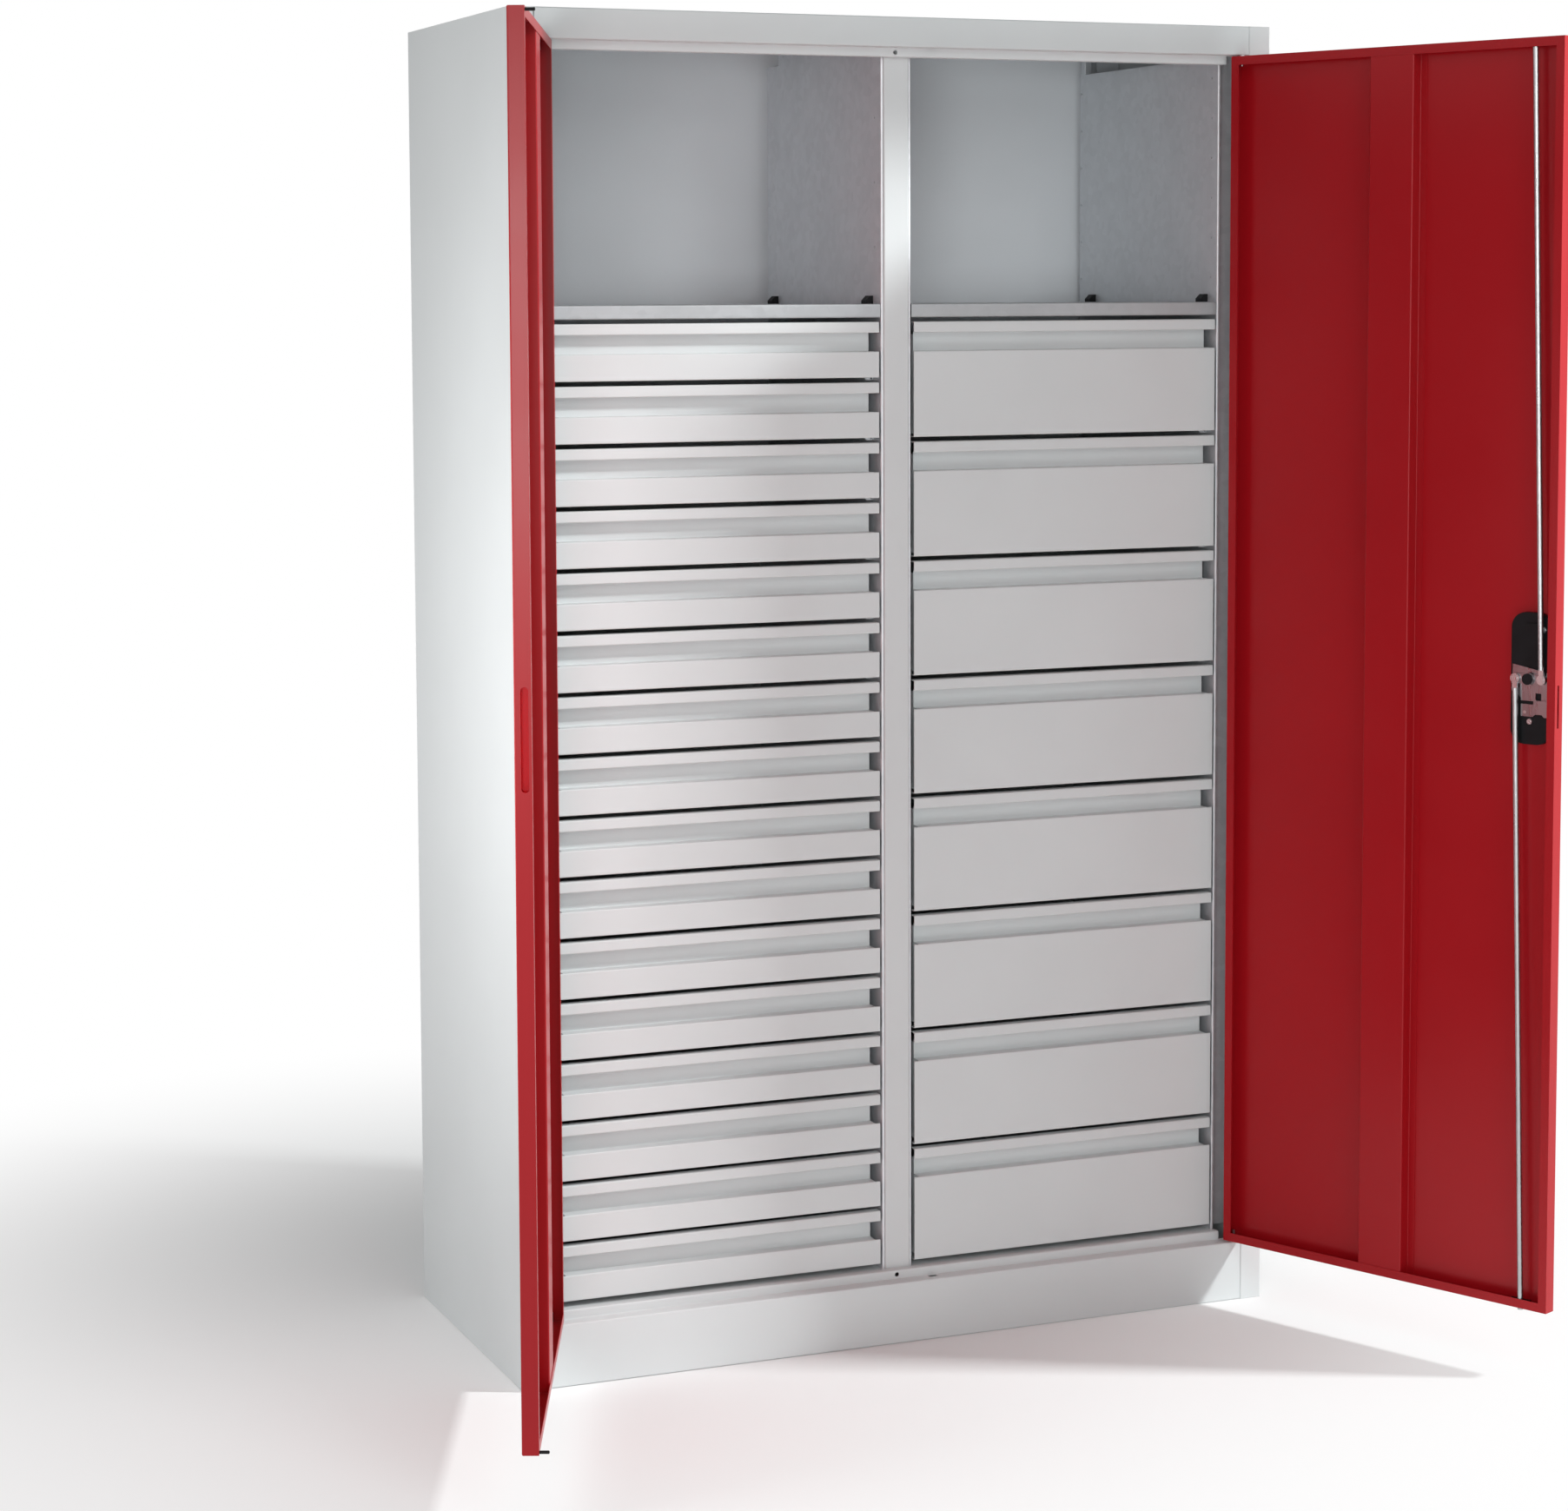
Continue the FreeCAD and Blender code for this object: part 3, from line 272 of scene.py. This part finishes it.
def calculate(tree, operation, *values):
    """The result of a sum on sockets or numbers."""
    inputs = dict(enumerate(values))
    return add_node(tree, "ShaderNodeMath", inputs, operation=operation).outputs["Value"]


# Powder coats

CLOUD_SHARES = (0.965, 1.03)
CLOUD_DETAIL = 3.0
PEEL_DEPTH = 0.00004
PEEL_STRENGTH = 0.2
GREY_ROUGHNESS = (0.38, 0.42)
RED_ROUGHNESS = (0.28, 0.32)
DRAWER_ROUGHNESS = (0.37, 0.42)
COAT_SHEEN = 0.30
KEEPER_SHEEN = 0.20


def coat_colour(tree, where, base, paint):
    """A coat's colour with a little clouding."""
    return tint(tree, noise(tree, where, paint.cloud, CLOUD_DETAIL), base, CLOUD_SHARES)


def coat_surface(tree, where, shader, paint, roughness, sheen):
    """A satin surface with a fine peel."""
    plug(tree, spread(tree, noise(tree, where, paint.cloud / 2), *roughness), shader.inputs["Roughness"])
    peel = noise(tree, where, paint.peel)
    plug(tree, bump(tree, peel, PEEL_DEPTH, PEEL_STRENGTH), shader.inputs["Normal"])
    shader.inputs["Specular IOR Level"].default_value = sheen


def powder_coat(name, base, paint, roughness, sheen=COAT_SHEEN):
    """A satin coat with a fine peel and a little clouding."""
    material, tree, shader = new_material(name)
    where = object_coordinates(tree)
    plug(tree, coat_colour(tree, where, base, paint), shader.inputs["Base Color"])
    coat_surface(tree, where, shader, paint, roughness, sheen)
    return material


# Metal sheets and plating

CRYSTAL_SHARE = 0.35
STREAK_WIDTH = 0.05
STREAK_DETAIL = 4.0
SPANGLE_SHARES = (0.95, 1.05)
SPANGLE_ROUGHNESS = (0.42, 0.50)
SHEET_GRAIN = 0.0015
SHEET_DEPTH = 0.00003
SHEET_STRENGTH = 0.5
SHEET_METALLIC = 0.45
PLATE_CLOUD = 0.03
PLATE_SHARES = (0.94, 1.05)
PLATE_ROUGHNESS = (0.26, 0.32)
MARK_WIDTH = 0.006
MARK_STRETCH = (1.0, 1.0, 0.08)


def spangle_parts(tree, where, metal):
    """The streaked shade of zinc crystals, and the plain shade of each crystal."""
    inputs = {"Vector": where, "Scale": 1.0 / metal.spangle, "Randomness": 1.0}
    crystals = add_node(tree, "ShaderNodeTexVoronoi", inputs, feature="F1")
    shade = add_node(tree, "ShaderNodeSeparateColor", {"Color": crystals.outputs["Color"]}).outputs["Red"]
    streak = calculate(tree, "MULTIPLY", noise(tree, where, STREAK_WIDTH, STREAK_DETAIL), 1.0 - CRYSTAL_SHARE)
    return calculate(tree, "MULTIPLY_ADD", shade, CRYSTAL_SHARE, streak), shade


def galvanised_sheet(name, base, metal):
    """Hot-dipped sheet: matt grey crystals with a soft metal sheen."""
    material, tree, shader = new_material(name)
    where = object_coordinates(tree)
    mixed, shade = spangle_parts(tree, where, metal)
    plug(tree, tint(tree, mixed, base, SPANGLE_SHARES), shader.inputs["Base Color"])
    plug(tree, spread(tree, shade, *SPANGLE_ROUGHNESS), shader.inputs["Roughness"])
    grain = noise(tree, where, SHEET_GRAIN)
    plug(tree, bump(tree, grain, SHEET_DEPTH, SHEET_STRENGTH), shader.inputs["Normal"])
    shader.inputs["Metallic"].default_value = SHEET_METALLIC
    return material


def zinc_plate(name, base):
    """Zinc plating with faint rolling marks."""
    material, tree, shader = new_material(name)
    where = object_coordinates(tree)
    stretched = add_node(tree, "ShaderNodeMapping", {"Vector": where, "Scale": MARK_STRETCH})
    marks = noise(tree, stretched.outputs["Vector"], MARK_WIDTH)
    plug(tree, tint(tree, noise(tree, where, PLATE_CLOUD), base, PLATE_SHARES), shader.inputs["Base Color"])
    plug(tree, spread(tree, marks, *PLATE_ROUGHNESS), shader.inputs["Roughness"])
    shader.inputs["Metallic"].default_value = 1.0
    return material


# Moulded plastic

PLASTIC_CLOUD = 0.02
PLASTIC_SHARES = (0.8, 1.25)
PLASTIC_ROUGHNESS = (0.40, 0.55)
GRAIN_DEPTH = 0.00005
GRAIN_STRENGTH = 0.25
PLASTIC_SHEEN = 0.15


def black_plastic(plastic):
    """Moulded plastic with a fine grain."""
    material, tree, shader = new_material("black_plastic")
    where = object_coordinates(tree)
    grain = noise(tree, where, plastic.grain)
    cloud = noise(tree, where, PLASTIC_CLOUD)
    plug(tree, tint(tree, cloud, plastic.black, PLASTIC_SHARES), shader.inputs["Base Color"])
    plug(tree, spread(tree, grain, *PLASTIC_ROUGHNESS), shader.inputs["Roughness"])
    plug(tree, bump(tree, grain, GRAIN_DEPTH, GRAIN_STRENGTH), shader.inputs["Normal"])
    shader.inputs["Specular IOR Level"].default_value = PLASTIC_SHEEN
    return material


# Drawers

# Half the width of a tray without its slide bars, and the depth of a folded front
TRAY_HALF = 0.2421
FRONT_DEPTH = 0.026
# Sockets of a Mix node that blends colours
MIX_FIRST = 6
MIX_SECOND = 7
MIX_RESULT = 2


def bare_bars(tree, where):
    """One on the slide bars beside the trays, and zero on the fronts and trays."""
    axes = add_node(tree, "ShaderNodeSeparateXYZ", {"Vector": where}).outputs
    low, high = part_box(DRAWERS[0])
    stack_middle = abs((low.x + high.x) / 2)
    from_middle = calculate(tree, "SUBTRACT", calculate(tree, "ABSOLUTE", axes["X"]), stack_middle)
    beside = calculate(tree, "GREATER_THAN", calculate(tree, "ABSOLUTE", from_middle), TRAY_HALF)
    behind = calculate(tree, "GREATER_THAN", axes["Y"], low.y + FRONT_DEPTH)
    return calculate(tree, "MULTIPLY", beside, behind)


def drawer_coat(paint, metal):
    """Grey coat on fronts and trays, with bare galvanised slide bars on the trays' sides."""
    material, tree, shader = new_material("drawer_coat")
    where = object_coordinates(tree)
    bare = bare_bars(tree, where)
    mixed, _ = spangle_parts(tree, where, metal)
    blend = add_node(tree, "ShaderNodeMix", {"Factor": bare}, data_type="RGBA")
    plug(tree, coat_colour(tree, where, paint.grey, paint), blend.inputs[MIX_FIRST])
    plug(tree, tint(tree, mixed, metal.galvanised, SPANGLE_SHARES), blend.inputs[MIX_SECOND])
    plug(tree, blend.outputs[MIX_RESULT], shader.inputs["Base Color"])
    plug(tree, calculate(tree, "MULTIPLY", bare, SHEET_METALLIC), shader.inputs["Metallic"])
    coat_surface(tree, where, shader, paint, DRAWER_ROUGHNESS, COAT_SHEEN)
    return material


# Operators for the finishes


def dress(names, material):
    """Give CAD nodes one material."""
    for name in names:
        mesh = NODES[name].data
        mesh.materials.clear()
        mesh.materials.append(material)


class CABINET_OT_paint_carcass(bpy.types.Operator):
    """Coat the carcass in light grey and its back in a paler one that partly stands in for light in the
    compartments
    """

    bl_idname = "cabinet.paint_carcass"
    bl_label = "Paint carcass"

    def execute(self, context):
        paint = context.scene.cabinet_paint
        dress(GREY_NODES, powder_coat("grey_coat", paint.grey, paint, GREY_ROUGHNESS))
        # The paler back coat is partly painted light that lifts the shaded compartments
        dress(BACK_NODES, powder_coat("back_coat", paint.back, paint, GREY_ROUGHNESS))
        return {"FINISHED"}


class CABINET_OT_paint_drawers(bpy.types.Operator):
    """Coat the drawers in light grey and leave their slide bars bare"""

    bl_idname = "cabinet.paint_drawers"
    bl_label = "Paint drawers"

    def execute(self, context):
        scene = context.scene
        dress(DRAWERS, drawer_coat(scene.cabinet_paint, scene.cabinet_metal))
        return {"FINISHED"}


class CABINET_OT_paint_doors(bpy.types.Operator):
    """Coat the doors in deep red and the latch's keeper in a brighter one, which is partly painted light for
    its shaded recess
    """

    bl_idname = "cabinet.paint_doors"
    bl_label = "Paint doors"

    def execute(self, context):
        paint = context.scene.cabinet_paint
        dress(RED_NODES, powder_coat("red_coat", paint.red, paint, RED_ROUGHNESS))
        # The keeper's brighter red is partly painted light that lifts its shaded recess
        dress(KEEPER_NODES, powder_coat("keeper_coat", paint.keeper, paint, GREY_ROUGHNESS, KEEPER_SHEEN))
        return {"FINISHED"}


class CABINET_OT_finish_metal(bpy.types.Operator):
    """Give the liners, shelves and runners galvanised sheet, and the lock and pins zinc plating"""

    bl_idname = "cabinet.finish_metal"
    bl_label = "Finish metal"

    def execute(self, context):
        metal = context.scene.cabinet_metal
        dress(GALVANISED_NODES, galvanised_sheet("galvanised_sheet", metal.galvanised, metal))
        dress(SHELF_NODES, galvanised_sheet("shelf_sheet", metal.shelf, metal))
        dress(ZINC_NODES, zinc_plate("zinc_plate", metal.zinc))
        dress(LOCK_NODES, zinc_plate("lock_zinc", metal.lock))
        return {"FINISHED"}


class CABINET_OT_mould_plastic(bpy.types.Operator):
    """Give the handle, clips and guides black plastic"""

    bl_idname = "cabinet.mould_plastic"
    bl_label = "Mould plastic"

    def execute(self, context):
        dress(PLASTIC_NODES, black_plastic(context.scene.cabinet_plastic))
        return {"FINISHED"}


# Small fasteners

HEAD_SIDES = 16
RIM_STEPS = 2
RIM_HEIGHT_SHARE = 0.6
RIM_RADIUS_SHARE = 0.3
SOCKET_STEP_SHARE = 0.6
SOCKET_WALL_SHARE = 0.08
SOCKET_DEPTH_SHARE = 0.5
RING_STEPS = 20


def door_place(side):
    """Where a point of a shut door, measured from its hinge axis, lies while the door stands open."""
    joint = JOINTS[f"{side}_door_hinge"]
    turn = math.radians(-joint["range_deg"][0])
    return Matrix.Translation(joint["pos_m"]) @ Matrix.Rotation(turn, 4, Vector(joint["axis"]))


def facing(point, outward):
    """A place at a point whose Z axis looks along a direction."""
    return Matrix.Translation(point) @ Vector(outward).to_track_quat("Z", "Y").to_matrix().to_4x4()


def add_head(mesh, place, radius, height, socket=0.0):
    """A low round head with a bevelled rim and, if asked, a socket of that share of its radius."""
    ring = bmesh.ops.create_circle(mesh, cap_ends=True, segments=HEAD_SIDES, radius=radius, matrix=place)
    base = ring["verts"][0].link_faces[0]
    up = place.to_3x3() @ Vector((0.0, 0.0, 1.0))
    raised = bmesh.ops.extrude_face_region(mesh, geom=[base])["geom"]
    corners = [part for part in raised if isinstance(part, bmesh.types.BMVert)]
    bmesh.ops.translate(mesh, vec=up * height, verts=corners)
    top = next(part for part in raised if isinstance(part, bmesh.types.BMFace))
    bmesh.ops.bevel(
        mesh,
        geom=list(top.edges),
        offset=min(height * RIM_HEIGHT_SHARE, radius * RIM_RADIUS_SHARE),
        offset_type="OFFSET",
        affect="EDGES",
        segments=RIM_STEPS,
        profile=0.5,
        material=-1,
    )
    if socket:
        crown = place.translation + up * height
        top = min(mesh.faces, key=lambda face: (face.calc_center_median() - crown).length)
        step = radius * (1.0 - socket) * SOCKET_STEP_SHARE
        bmesh.ops.inset_region(mesh, faces=[top], thickness=step, depth=0.0)
        wall = radius * SOCKET_WALL_SHARE
        bmesh.ops.inset_region(mesh, faces=[top], thickness=wall, depth=-height * SOCKET_DEPTH_SHARE)


def add_ring(mesh, place, inner, outer, height):
    """A flat ring with a square section."""
    profile = [(inner, 0.0), (outer, 0.0), (outer, height), (inner, height)]
    corners = [mesh.verts.new(place @ Vector((across, 0.0, up))) for across, up in profile]
    edges = [mesh.edges.new((corners[index - 1], corners[index])) for index in range(len(corners))]
    axis = place.to_3x3() @ Vector((0.0, 0.0, 1.0))
    bmesh.ops.spin(
        mesh,
        geom=corners + edges,
        cent=place.translation,
        axis=axis,
        angle=math.tau,
        steps=RING_STEPS,
        use_merge=True,
    )


def add_piece(name, build, material, body):
    """Build one mesh where it lies on the cabinet at rest and let it ride on a body."""
    shape = bmesh.new()
    build(shape)
    bmesh.ops.recalc_face_normals(shape, faces=shape.faces)
    mesh = bpy.data.meshes.new(name)
    shape.to_mesh(mesh)
    shape.free()
    mesh.materials.append(bpy.data.materials[material])
    piece = bpy.data.objects.new(name, mesh)
    bpy.context.scene.collection.objects.link(piece)
    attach(piece, body)


def row(first, last, amount):
    """Evenly spaced levels from the first to the last."""
    return [first + (last - first) * index / (amount - 1) for index in range(amount)]


# Places on a shut door, measured from its hinge axis
STIFFENER_MIDDLE = -0.27325
WELD_REACH = 0.042
WELD_FACE = -0.003
WELD_LOW = 0.14
WELD_HIGH = 1.86
WELD_HEIGHT = 0.0004


class CABINET_OT_weld_stiffeners(bpy.types.Operator):
    """Mark the spot welds along the feet of the door stiffeners"""

    bl_idname = "cabinet.weld_stiffeners"
    bl_label = "Weld stiffeners"

    def execute(self, context):
        fasteners = context.scene.cabinet_fasteners
        for side, sign in (("left", -1.0), ("right", 1.0)):
            door = door_place(side)
            into = door.to_3x3() @ Vector((0.0, 1.0, 0.0))

            def build(mesh):
                for level in row(WELD_LOW, WELD_HIGH, fasteners.welds):
                    for reach in (-WELD_REACH, WELD_REACH):
                        point = door @ Vector(((STIFFENER_MIDDLE + reach) * sign, WELD_FACE, level))
                        add_head(mesh, facing(point, into), fasteners.weld_radius, WELD_HEIGHT)

            add_piece(f"{side}_welds", build, "red_coat", f"{side}_door")
        return {"FINISHED"}


# The lever's axis on the shut right door, and the cam's two pins beside it
LOCK_ACROSS = -0.507
LOCK_LEVEL = 1.004
PIN_REACH = 0.021
PIN_FACE = 0.0134
PIN_HEAD_RADIUS = 0.0024
PIN_HEAD_HEIGHT = 0.0004
CLIP_INNER = 0.0022
CLIP_OUTER = 0.0046
CLIP_HEIGHT = 0.0009
LOCK_HEAD_HEIGHT = 0.0005
# Heads on the lock: place from the lever's axis, radius and share of the socket
LOCK_HEADS = (
    (0.0, 0.007, -0.061, 0.0034, 0.5),
    (-PIN_REACH, 0.007, 0.071, 0.0030, 0.5),
    (0.008, 0.0065, -0.048, 0.0022, 0.0),
)


class CABINET_OT_fasten_lock(bpy.types.Operator):
    """Add the clips on the cam's pins, and the heads of the lock's screws and rivet"""

    bl_idname = "cabinet.fasten_lock"
    bl_label = "Fasten lock"

    def execute(self, context):
        door = door_place("right")
        into = door.to_3x3() @ Vector((0.0, 1.0, 0.0))
        axis = Vector((LOCK_ACROSS, 0.0, LOCK_LEVEL))

        def clips(mesh):
            for reach in (-PIN_REACH, PIN_REACH):
                place = facing(door @ (axis + Vector((reach, PIN_FACE, 0.0))), into)
                add_ring(mesh, place, CLIP_INNER, CLIP_OUTER, CLIP_HEIGHT)
                add_head(mesh, place, PIN_HEAD_RADIUS, PIN_HEAD_HEIGHT)

        def heads(mesh):
            for *step, radius, socket in LOCK_HEADS:
                place = facing(door @ (axis + Vector(step)), into)
                add_head(mesh, place, radius, LOCK_HEAD_HEIGHT, socket)

        add_piece("cam_clips", clips, "zinc_plate", "handle")
        add_piece("lock_heads", heads, "zinc_plate", "right_door")
        return {"FINISHED"}


SCREW_INSET = 0.011
SCREW_MARGIN = 0.08
SCREW_HEIGHT = 0.0018
SCREW_SOCKET_SHARE = 0.5


class CABINET_OT_fasten_back(bpy.types.Operator):
    """Add the screw heads along the rear flanges"""

    bl_idname = "cabinet.fasten_back"
    bl_label = "Fasten back"

    def execute(self, context):
        fasteners = context.scene.cabinet_fasteners
        _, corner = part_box("right_side")

        def build(mesh):
            for level in row(SCREW_MARGIN, corner.z - SCREW_MARGIN, fasteners.back_screws):
                for sign in (-1.0, 1.0):
                    point = Vector(((corner.x - SCREW_INSET) * sign, corner.y, level))
                    place = facing(point, (0.0, 1.0, 0.0))
                    add_head(mesh, place, fasteners.screw_radius, SCREW_HEIGHT, SCREW_SOCKET_SHARE)

        add_piece("back_screws", build, "zinc_plate", "cabinet")
        return {"FINISHED"}


# Floor and backdrop

FLOOR_REACH = 40.0
FLOOR_STEPS = 4
FLOOR_DROP = 0.0005
FLOOR_CLOUD = 1.5
FLOOR_SHARES = (0.99, 1.01)
FLOOR_PATCH = 0.4
FLOOR_ROUGHNESS = (0.85, 0.95)
SHADOW_MIDDLE = Vector((-0.2, 0.1, 0.0))


def seen_directly(tree):
    """One for rays from the camera, a reflection or a clear piece, and zero for those that carry light."""
    rays = add_node(tree, "ShaderNodeLightPath").outputs
    seen = calculate(tree, "MAXIMUM", rays["Is Camera Ray"], rays["Is Glossy Ray"])
    return calculate(tree, "MAXIMUM", seen, rays["Is Transmission Ray"])


def floor_material(stage):
    """A pale floor that keeps the shadow near the cabinet and fades to the white of the backdrop."""
    material, tree, shader = new_material("studio_floor")
    where = object_coordinates(tree)
    cloud = noise(tree, where, FLOOR_CLOUD)
    plug(tree, tint(tree, cloud, stage.floor, FLOOR_SHARES), shader.inputs["Base Color"])
    patches = noise(tree, where, FLOOR_PATCH)
    plug(tree, spread(tree, patches, *FLOOR_ROUGHNESS), shader.inputs["Roughness"])
    shader.inputs["Specular IOR Level"].default_value = 0.0
    ends = {0: where, 1: SHADOW_MIDDLE}
    distance = add_node(tree, "ShaderNodeVectorMath", ends, operation="DISTANCE").outputs["Value"]
    reach = {"Value": distance, "From Min": stage.near_floor, "From Max": stage.far_floor}
    far = add_node(tree, "ShaderNodeMapRange", reach, interpolation_type="SMOOTHSTEP").outputs["Result"]
    far = calculate(tree, "MULTIPLY", far, seen_directly(tree))
    glow = add_node(tree, "ShaderNodeEmission", {"Color": (*WHITE, 1.0), "Strength": 1.0})
    faded = add_node(tree, "ShaderNodeMixShader", {"Fac": far, 1: shader.outputs[0], 2: glow.outputs[0]})
    plug(tree, faded.outputs[0], tree.nodes["Material Output"].inputs["Surface"])
    return material


def lay_floor(stage):
    """A wide floor, a hair below the cabinet's feet."""
    mesh = bpy.data.meshes.new("studio_floor")
    grid = bmesh.new()
    bmesh.ops.create_grid(grid, x_segments=FLOOR_STEPS, y_segments=FLOOR_STEPS, size=FLOOR_REACH)
    bmesh.ops.translate(grid, verts=grid.verts, vec=(0.0, 0.0, -FLOOR_DROP))
    grid.to_mesh(mesh)
    grid.free()
    mesh.materials.append(floor_material(stage))
    floor = bpy.data.objects.new("studio_floor", mesh)
    bpy.context.scene.collection.objects.link(floor)


def light_world(sky):
    """Even light from all round, and a white backdrop behind the object and in its reflections."""
    world = bpy.data.worlds.new("studio_world")
    world.use_nodes = True
    tree = world.node_tree
    background = tree.nodes["Background"]
    strength = calculate(tree, "MULTIPLY_ADD", seen_directly(tree), 1.0 - sky, sky)
    plug(tree, strength, background.inputs["Strength"])
    background.inputs["Color"].default_value = (*WHITE, 1.0)
    bpy.context.scene.world = world


# Lights, and cards that hold back the key

KEY_DIRECTION = Vector((1.030, -0.535, 0.605))
KEY_DISTANCE = 5.0
KEY_AIM = Vector((-0.20, -0.21, 1.0))
FILL_PLACE = Vector((0.6, -4.6, 3.0))
FILL_AIM = Vector((0.0, 0.0, 1.3))
FILL_SIZE = 1.6
SIDE_PLACE = Vector((-1.5, -0.55, 1.08))
SIDE_AIM = Vector((-0.6, 0.0, 1.03))
SIDE_SIZE = 0.8
LOW_PLACE = Vector((-2.4, -4.6, 1.45))
LOW_AIM = Vector((0.0, 0.0, 1.5))
LOW_SIZE = 1.0
# Each card's corners go once round, and its share is the light that it lets pass
FLAG_CORNERS = ((0.0, -0.75, 2.16), (1.4, -0.75, 2.16), (1.4, -0.75, 2.33), (0.0, -0.75, 2.33))
FLAG_SHARE = 0.0
NET_CORNERS = ((1.5, -0.8, 0.9), (1.5, -0.42, 0.9), (1.5, -0.42, 2.34), (1.5, -0.8, 2.34))
NET_SHARE = 0.65


def add_area_light(name, place, aim, size, energy, tone):
    """A square light that looks at a point and isn't seen itself."""
    data = bpy.data.lights.new(name, "AREA")
    data.energy = energy
    data.color = tone
    data.size = size
    lamp = bpy.data.objects.new(name, data)
    lamp.visible_camera = False
    look = (aim - place).to_track_quat("-Z", "Y").to_matrix().to_4x4()
    lamp.matrix_world = Matrix.Translation(place) @ look
    bpy.context.scene.collection.objects.link(lamp)


def add_card(name, corners, share):
    """A card before the key light that lets a share of it pass and is never seen itself."""
    material, tree, _ = new_material(name)
    net = add_node(tree, "ShaderNodeBsdfTransparent", {"Color": (share, share, share, 1.0)})
    plug(tree, net.outputs[0], tree.nodes["Material Output"].inputs["Surface"])
    mesh = bpy.data.meshes.new(name)
    outline = bmesh.new()
    outline.faces.new([outline.verts.new(corner) for corner in corners])
    outline.to_mesh(mesh)
    outline.free()
    mesh.materials.append(material)
    card = bpy.data.objects.new(name, mesh)
    bpy.context.scene.collection.objects.link(card)
    card.visible_camera = False
    card.visible_diffuse = False
    card.visible_glossy = False
    card.visible_transmission = False


def set_lights(stage):
    """The key to the right, the fill above the camera, and two lights to the left."""
    key_place = KEY_AIM + KEY_DIRECTION.normalized() * KEY_DISTANCE
    add_area_light("key_softbox", key_place, KEY_AIM, stage.key_size, stage.key_power, stage.front_tone)
    add_area_light("fill_panel", FILL_PLACE, FILL_AIM, FILL_SIZE, stage.fill_power, stage.front_tone)
    add_area_light("side_panel", SIDE_PLACE, SIDE_AIM, SIDE_SIZE, stage.side_power, WHITE)
    add_area_light("low_panel", LOW_PLACE, LOW_AIM, LOW_SIZE, stage.low_power, stage.front_tone)
    add_card("fascia_flag", FLAG_CORNERS, FLAG_SHARE)
    add_card("side_net", NET_CORNERS, NET_SHARE)


# Camera

CAMERA_PLACE = Vector((-2.02815, -4.69423, 1.54989))
CAMERA_YAW = math.radians(21.615)
CAMERA_PITCH = math.radians(4.7405)
CAMERA_ROLL = -0.0052
CAMERA_SHIFT = (0.03, -0.115)
SENSOR_WIDTH = 36.0
CLIP_END = 200.0
# The photograph's width and the lens, both in its pixels
FRAME_PIXELS = 1805
FOCUS_PIXELS = 3863.58


def place_camera(scene):
    """The photograph's viewpoint: a long lens, to the left and a little above the middle."""
    data = bpy.data.cameras.new("camera")
    data.sensor_width = SENSOR_WIDTH
    data.lens = FOCUS_PIXELS / FRAME_PIXELS * SENSOR_WIDTH
    data.shift_x, data.shift_y = CAMERA_SHIFT
    data.clip_end = CLIP_END
    camera = bpy.data.objects.new("camera", data)
    level = Matrix.Rotation(-CAMERA_YAW, 4, "Z") @ Matrix.Rotation(math.radians(90.0) - CAMERA_PITCH, 4, "X")
    camera.matrix_world = Matrix.Translation(CAMERA_PLACE) @ level @ Matrix.Rotation(CAMERA_ROLL, 4, "Z")
    scene.collection.objects.link(camera)
    scene.camera = camera


class CABINET_OT_set_stage(bpy.types.Operator):
    """Lay the floor, set the light and place the camera"""

    bl_idname = "cabinet.set_stage"
    bl_label = "Set stage"

    def execute(self, context):
        stage = context.scene.cabinet_stage
        lay_floor(stage)
        light_world(stage.sky)
        set_lights(stage)
        place_camera(context.scene)
        context.scene.view_settings.view_transform = "Standard"
        return {"FINISHED"}


# Panel and registration

GROUPS = {
    "cabinet_paint": CabinetPaint,
    "cabinet_metal": CabinetMetal,
    "cabinet_plastic": CabinetPlastic,
    "cabinet_fasteners": CabinetFasteners,
    "cabinet_stage": CabinetStage,
}
OPERATORS = (
    CABINET_OT_paint_carcass,
    CABINET_OT_paint_drawers,
    CABINET_OT_paint_doors,
    CABINET_OT_finish_metal,
    CABINET_OT_mould_plastic,
    CABINET_OT_weld_stiffeners,
    CABINET_OT_fasten_lock,
    CABINET_OT_fasten_back,
    CABINET_OT_set_stage,
)


class CABINET_PT_panel(bpy.types.Panel):
    """Lists the cabinet's settings and steps"""

    bl_idname = "CABINET_PT_panel"
    bl_label = "Tool Cabinet"
    bl_space_type = "VIEW_3D"
    bl_region_type = "UI"
    bl_category = "Tool Cabinet"

    def draw(self, context):
        for group in GROUPS:
            box = self.layout.box()
            settings = getattr(context.scene, group)
            for name in settings.__annotations__:
                box.prop(settings, name)
        for operator in OPERATORS:
            self.layout.operator(operator.bl_idname)


CLASSES = (*GROUPS.values(), *OPERATORS, CABINET_PT_panel)


def register():
    for part in CLASSES:
        bpy.utils.register_class(part)
    for name, group in GROUPS.items():
        setattr(bpy.types.Scene, name, bpy.props.PointerProperty(type=group))


def unregister():
    for name in GROUPS:
        delattr(bpy.types.Scene, name)
    for part in reversed(CLASSES):
        bpy.utils.unregister_class(part)


def main():
    register()
    bpy.ops.cabinet.paint_carcass()
    bpy.ops.cabinet.paint_drawers()
    bpy.ops.cabinet.paint_doors()
    bpy.ops.cabinet.finish_metal()
    bpy.ops.cabinet.mould_plastic()
    bpy.ops.cabinet.weld_stiffeners()
    bpy.ops.cabinet.fasten_lock()
    bpy.ops.cabinet.fasten_back()
    bpy.ops.cabinet.set_stage()


if __name__ == "__main__":
    main()
